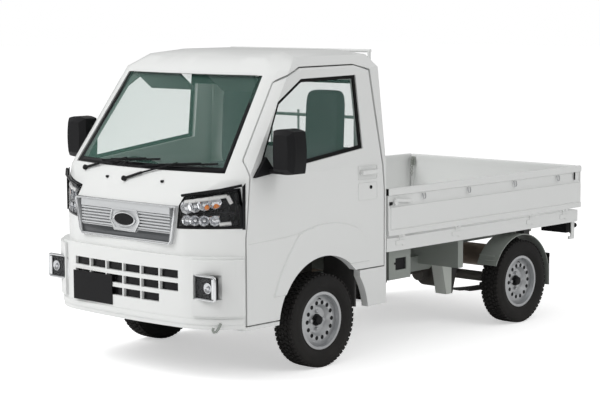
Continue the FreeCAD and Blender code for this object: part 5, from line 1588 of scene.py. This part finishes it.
@dataclass
class BedTrim:
    """The gates' hooks, latches, pressed panels and end caps, the bed's ribs and the tailgate's chain.

    Attributes:
        hook_ys: where the rope hooks hang under the gate's rail.
        hinge_ys: where the hinge plates are.
        face_x: where the gate's recessed outer face is.
        deck_z: the deck's height.
        loop_run: a rope hook's points, as how far out, to the side and up.
    """

    hook_ys: tuple[float, ...] = (0.042, 0.480, 0.957, 1.430)
    hinge_ys: tuple[float, ...] = (-0.162, 0.373, 1.145, 1.516)
    face_x: float = 0.7335
    deck_z: float = 0.658
    loop_run: tuple[Triple, ...] = (
        (0.000, -0.013, 0.016), (0.0055, -0.013, -0.004), (0.0065, -0.008, -0.016), (0.0065, 0.008, -0.016),
        (0.0055, 0.013, -0.004), (0.000, 0.013, 0.016),
    )

    def build(self) -> None:
        """Build the gates' trim, the deck's ribs, the chain and the guard's hooks."""
        self.gates()
        ribs = [block((-0.60 + 0.12 * step, 0.70, self.deck_z + 0.0016), (0.060, 1.90, 0.0042), 0.0015)
                for step in range(11)]
        dress("deck_ribs", ribs, WHITE)
        hinges = []
        for along in self.hinge_ys:
            hinges.append(block((0.7240, along, 0.647), (0.0052, 0.086, 0.028), 0.0018))
            hinges.append(block((0.7246, along + 0.028, 0.634), (0.0060, 0.028, 0.016), 0.0018))
        dress_pair("hinge_plates", hinges, WHITE)
        dress("tailgate_chain", self.corner_chain(), CHAIN, "tailgate")
        tail = [block((0, 1.6955, 0.790), (1.24, 0.0030, 0.150), 0.0012)]
        tail += [self.loop((-0.45 + 0.30 * step, 1.6925, 0.905), True) for step in range(4)]
        dress("tailgate_trim", tail, WHITE, "tailgate")
        dress_pair("guard_hooks", [self.loop((0.590, -0.262, level)) for level in (1.66, 1.10)], WHITE)

    def gates(self) -> None:
        """Build the left gate's trim and mirror it."""
        face = self.face_x
        pressing = [block((face + 0.0012, 0.706, 0.797), (0.0052, 1.940, 0.128), 0.0024, segments=3),
                    block((face + 0.0022, 0.706, 0.7215), (0.0050, 1.950, 0.012), 0.0024, segments=3),
                    bar((0.7280, -0.283, 0.9625), (0.7280, 1.694, 0.9625), 0.0102, 14)]
        tip = (math.radians(-6), 0, 0)
        latch = [block((face + 0.009, -0.155, 0.896), (0.012, 0.150, 0.020), 0.005, tip),
                 bar((face - 0.002, -0.222, 0.890), (face + 0.013, -0.222, 0.890), 0.017, 18, 0.003)]
        caps = [block((0.7235, -0.2835, 0.9515), (0.024, 0.006, 0.040), 0.002),
                block((face + 0.001, -0.262, 0.884), (0.004, 0.026, 0.020), 0.0012),
                block((face + 0.001, 1.622, 0.911), (0.004, 0.012, 0.058), 0.0012)]
        hooks = [self.loop((face, along, 0.908)) for along in self.hook_ys]
        for name, pieces, finish, slot in (
            ("pressing", pressing, WHITE, ""), ("hooks", hooks, SILVER, "chassis_paint"),
            ("latch", latch, WHITE, ""), ("caps", caps, BLACK, ""),
        ):
            dress_pair(f"gate_{name}", pieces, finish, "gate_{}")

    def loop(self, place: Triple, behind: bool = False) -> Piece:
        """A wire loop for a rope, standing off a face that looks sideways or behind.

        Args:
            place: the middle of its root.
            behind: whether the face looks behind.

        Returns:
            The loop.
        """
        shifts = [(side, out * 0.18, up) if behind else (out, side, up) for out, side, up in self.loop_run]
        points = [[start + step for start, step in zip(place, shift)] for shift in shifts]
        return piping(points, 0.0032, facets=1)

    @staticmethod
    def corner_chain() -> list[Piece]:
        """The catch and the short chain at the tailgate's right corner.

        Returns:
            The catch, its pin and the links.
        """
        pieces = [block((-0.672, 1.664, 0.925), (0.030, 0.014, 0.060), 0.003),
                  bar((-0.672, 1.668, 0.935), (-0.672, 1.640, 0.935), 0.008, 14, 0.002)]
        for number in range(8):
            clear_selection()
            bpy.ops.mesh.primitive_torus_add(
                major_segments=14, minor_segments=6, major_radius=0.0085, minor_radius=0.0022,
                location=(-0.672, 1.648, 0.918 - 0.0135 * number),
                rotation=(math.radians(90), 0, math.radians(45 + 90 * (number % 2))))
            pieces.append(settled())
        return pieces


@dataclass
class Seats:
    """The seats' padded cushions, backs and head parts, and their seams.

    Attributes:
        across: how far a seat's middle is from the truck's middle.
        wide: a seat's width.
        panel: how far out the middle panel reaches, as a share of half the pad.
        channels: where the sewn channels run, as such a share.
    """

    across: float = 0.35
    wide: float = 0.478
    panel: float = 0.60
    channels: tuple[float, ...] = (-0.34, 0.02, 0.38)

    def build(self) -> None:
        """Build both seats."""
        for side in Side:
            middle = self.across * side.value
            pads = (
                ("cushion", (middle, -0.772, 0.720), (self.wide, 0.482, 0.128), 2, 0.0, "seat_cushions"),
                ("back", (middle, -0.470, 0.868), (self.wide, 0.112, 0.420), 1, 0.058, "seat_backs"),
                ("head", (middle, -0.414, 1.300), (0.250, 0.096, 0.480), 1, 0.050, "seat_backs"),
            )
            for name, centre, extent, face, lean, node in pads:
                pad = self.padded(centre, extent, face, lean)
                if name == "cushion":
                    self.tilted(pad, centre, 0.03)
                dress(f"seat_{name}_{side.word}", [pad], CLOTH, nodes=[node])

    def padded(self, centre: Triple, extent: Triple, face: int, lean: float) -> Piece:
        """A stuffed pad with a sunk middle panel, sewn channels and sides pulled in at the seams.

        Args:
            centre: its middle.
            extent: its three lengths.
            face: the axis that its padded face looks along, 1 to the front or 2 up.
            lean: how far its top leans back.

        Returns:
            The pad.
        """
        clear_selection()
        bpy.ops.mesh.primitive_cube_add(size=2, location=(0, 0, 0))
        pad = bpy.context.object
        with editing(pad):
            bpy.ops.mesh.subdivide(number_cuts=17)
        other = 3 - face
        for vertex in pad.data.vertices:
            size = sum(abs(part) ** 7 for part in vertex.co) ** (1 / 7)
            spot = [part / size for part in vertex.co]
            toward = -spot[1] if face == 1 else spot[2]
            swell = max(0.0, 1 - max(abs(spot[0]), abs(spot[other])) ** 3)
            panel = math.exp(-((abs(spot[0]) - self.panel) / 0.035) ** 2)
            rows = sum(math.exp(-((spot[other] - row) / 0.030) ** 2) for row in self.channels)
            rows *= 1.0 if abs(spot[0]) < self.panel else 0.0
            pull = 1 - 0.020 * math.exp(-((toward - 0.55) / 0.06) ** 2)
            depth = 1 - 0.10 * (1 - swell) - (0.075 * panel + 0.050 * rows) * (toward > 0.6)
            spot[face] *= depth if toward > 0 else 1
            spot[0] *= pull
            spot[other] *= pull
            reach = [part * length / 2 for part, length in zip(spot, extent)]
            reach[1] += lean * reach[2]
            vertex.co = [start + part for start, part in zip(centre, reach)]
        return smooth(apply_modifier(pad, "SUBSURF", levels=1), 60)

    @staticmethod
    def tilted(pad: Piece, centre: Triple, slope: float) -> None:
        """Lower a pad's rear end a little."""
        for vertex in pad.data.vertices:
            vertex.co.z -= slope * max(0.0, vertex.co.z - centre[2] + 0.02) * (vertex.co.y - centre[1]) * 8


@dataclass
class Cabin:
    """What is seen through the glass: the hood over the dials, vents, visors, steering boss and levers.

    Attributes:
        driver_x: the middle of the driver's place.
        stack_x: the middle of the centre stack.
        vent_xs: where the air vents are.
        column: the steering wheel's middle.
        column_lean: how far the steering column leans, in degrees.
    """

    driver_x: float = -0.35
    stack_x: float = 0.02
    vent_xs: tuple[float, ...] = (-0.60, -0.05, 0.09, 0.58)
    column: Triple = (-0.35, -1.13, 1.035)
    column_lean: float = 40

    def build(self) -> None:
        """Build the cabin's pieces."""
        driver, stack, lean = self.driver_x, self.stack_x, math.radians(self.column_lean)
        forms = [block((driver, -1.385, 1.118), (0.330, 0.150, 0.050), 0.020, segments=3),
                 block((stack, -1.296, 0.985), (0.250, 0.020, 0.200), 0.008),
                 block((0.37, -1.297, 0.930), (0.360, 0.012, 0.130), 0.006)]
        dark = [block((driver, -1.3085, 1.112), (0.270, 0.006, 0.034), 0.002),
                *(block((across, -1.2975, 1.045), (0.095, 0.012, 0.045), 0.006) for across in self.vent_xs),
                block((stack, -1.285, 0.985), (0.200, 0.006, 0.080), 0.002)]
        knobs = [bar((across, -1.288, 0.915), (across, -1.268, 0.915), 0.017, 18, 0.003)
                 for across in (stack + 0.065 * step for step in (-1, 0, 1))]
        visors = [block((across, -1.075, 1.600), (0.370, 0.150, 0.018), 0.008, (math.radians(-38), 0, 0))
                  for across in (-0.30, 0.30)]
        way, middle = Vector((0, math.sin(lean), math.cos(lean))), Vector(self.column)
        boss = bar(middle + way * 0.002, middle + way * 0.022, 0.058, 28, 0.008)
        levers = [bar((0.0, -1.02, 0.66), (0.0, -1.06, 0.88), 0.008, 12),
                  bar((0.0, -1.056, 0.870), (0.0, -1.064, 0.915), 0.020, 16, 0.008),
                  block((0.0, -1.015, 0.675), (0.110, 0.130, 0.045), 0.015, segments=3),
                  bar((0.075, -0.72, 0.72), (0.075, -0.90, 0.77), 0.011, 12, 0.003)]
        for name, pieces, finish, body in (
            ("dash_forms", forms, DASH, "root"), ("dash_dark", dark, GLOSS_BLACK, "root"),
            ("heater_knobs", knobs, BLACK, "root"), ("sun_visors", visors, DASH, "root"),
            ("horn_pad", [boss], BLACK, "steering_wheel"), ("levers", levers, BLACK, "root"),
        ):
            dress(name, pieces, finish, body)


@dataclass
class Undersides:
    """The rear lamps' lenses, the mudflaps, the rear brackets and stops, and the battery.

    Attributes:
        lamp: where the middle of a rear lamp's rear face is.
        lenses: each lens's name, its place across the lamp and its finish.
        flap_x: how far a mudflap's middle is from the truck's middle.
        rib_zs: the heights of the mudguard's ribs.
    """

    lamp: Triple = (0.560, 1.682, 0.560)
    lenses: tuple[tuple[str, float, Finish], ...] = (("red", 0.30, RED), ("amber", -0.02, AMBER),
                                                     ("clear", -0.32, WARM))
    flap_x: float = 0.643
    rib_zs: tuple[float, ...] = (0.40, 0.43, 0.46)

    def build(self) -> None:
        """Build one side's pieces and mirror them, and build the battery."""
        across, along, level = self.lamp
        for name, share, finish in self.lenses:
            lens = block((across + share * 0.2, along + 0.0035, level), (0.060, 0.009, 0.068), 0.003)
            dress_pair(f"rear_lens_{name}", [lens], finish)
        ribs = [block((self.flap_x, 0.7935, rise), (0.120, 0.006, 0.008), 0.002) for rise in self.rib_zs]
        bracket = [block((0.694, 1.6640, 0.560), (0.012, 0.036, 0.130), 0.003),
                   block((0.694, 1.6500, 0.492), (0.014, 0.060, 0.020), 0.003)]
        for name, pieces, finish in (
            ("mudflap", [block((self.flap_x, 1.3735, 0.315), (0.142, 0.006, 0.210), 0.002)], SEAL),
            ("flap_strip", [block((self.flap_x, 1.3790, 0.405), (0.142, 0.005, 0.022), 0.0015)], WHITE),
            ("mudguard_ribs", ribs, CHASSIS), ("rear_bracket", bracket, WHITE),
            ("rubber_stop", [bar((0.694, 1.678, 0.571), (0.694, 1.6965, 0.571), 0.016, 18, 0.004)], SEAL),
        ):
            dress_pair(name, pieces, finish)
        battery = [block((0.640, -0.114, 0.500), (0.060, 0.150, 0.120), 0.006),
                   bar((0.672, -0.160, 0.515), (0.6835, -0.160, 0.515), 0.007, 12, 0.001)]
        dress("battery", battery, BLACK)


def main() -> None:
    """Build the stage, the finishes and every piece."""
    logging.basicConfig(level=logging.INFO, format="%(message)s")
    for part in (Stage(), CadFinishes(), Wheels(), Headlamps(), Softened(), WindshieldTrim(), DoorTrim(),
                 GrilleTrim(), FogLamps(), BumperTrim(), BedTrim(), Seats(), Cabin(), Undersides()):
        LOG.info("building %s", type(part).__name__)
        part.build()


if __name__ == "__main__":
    main()
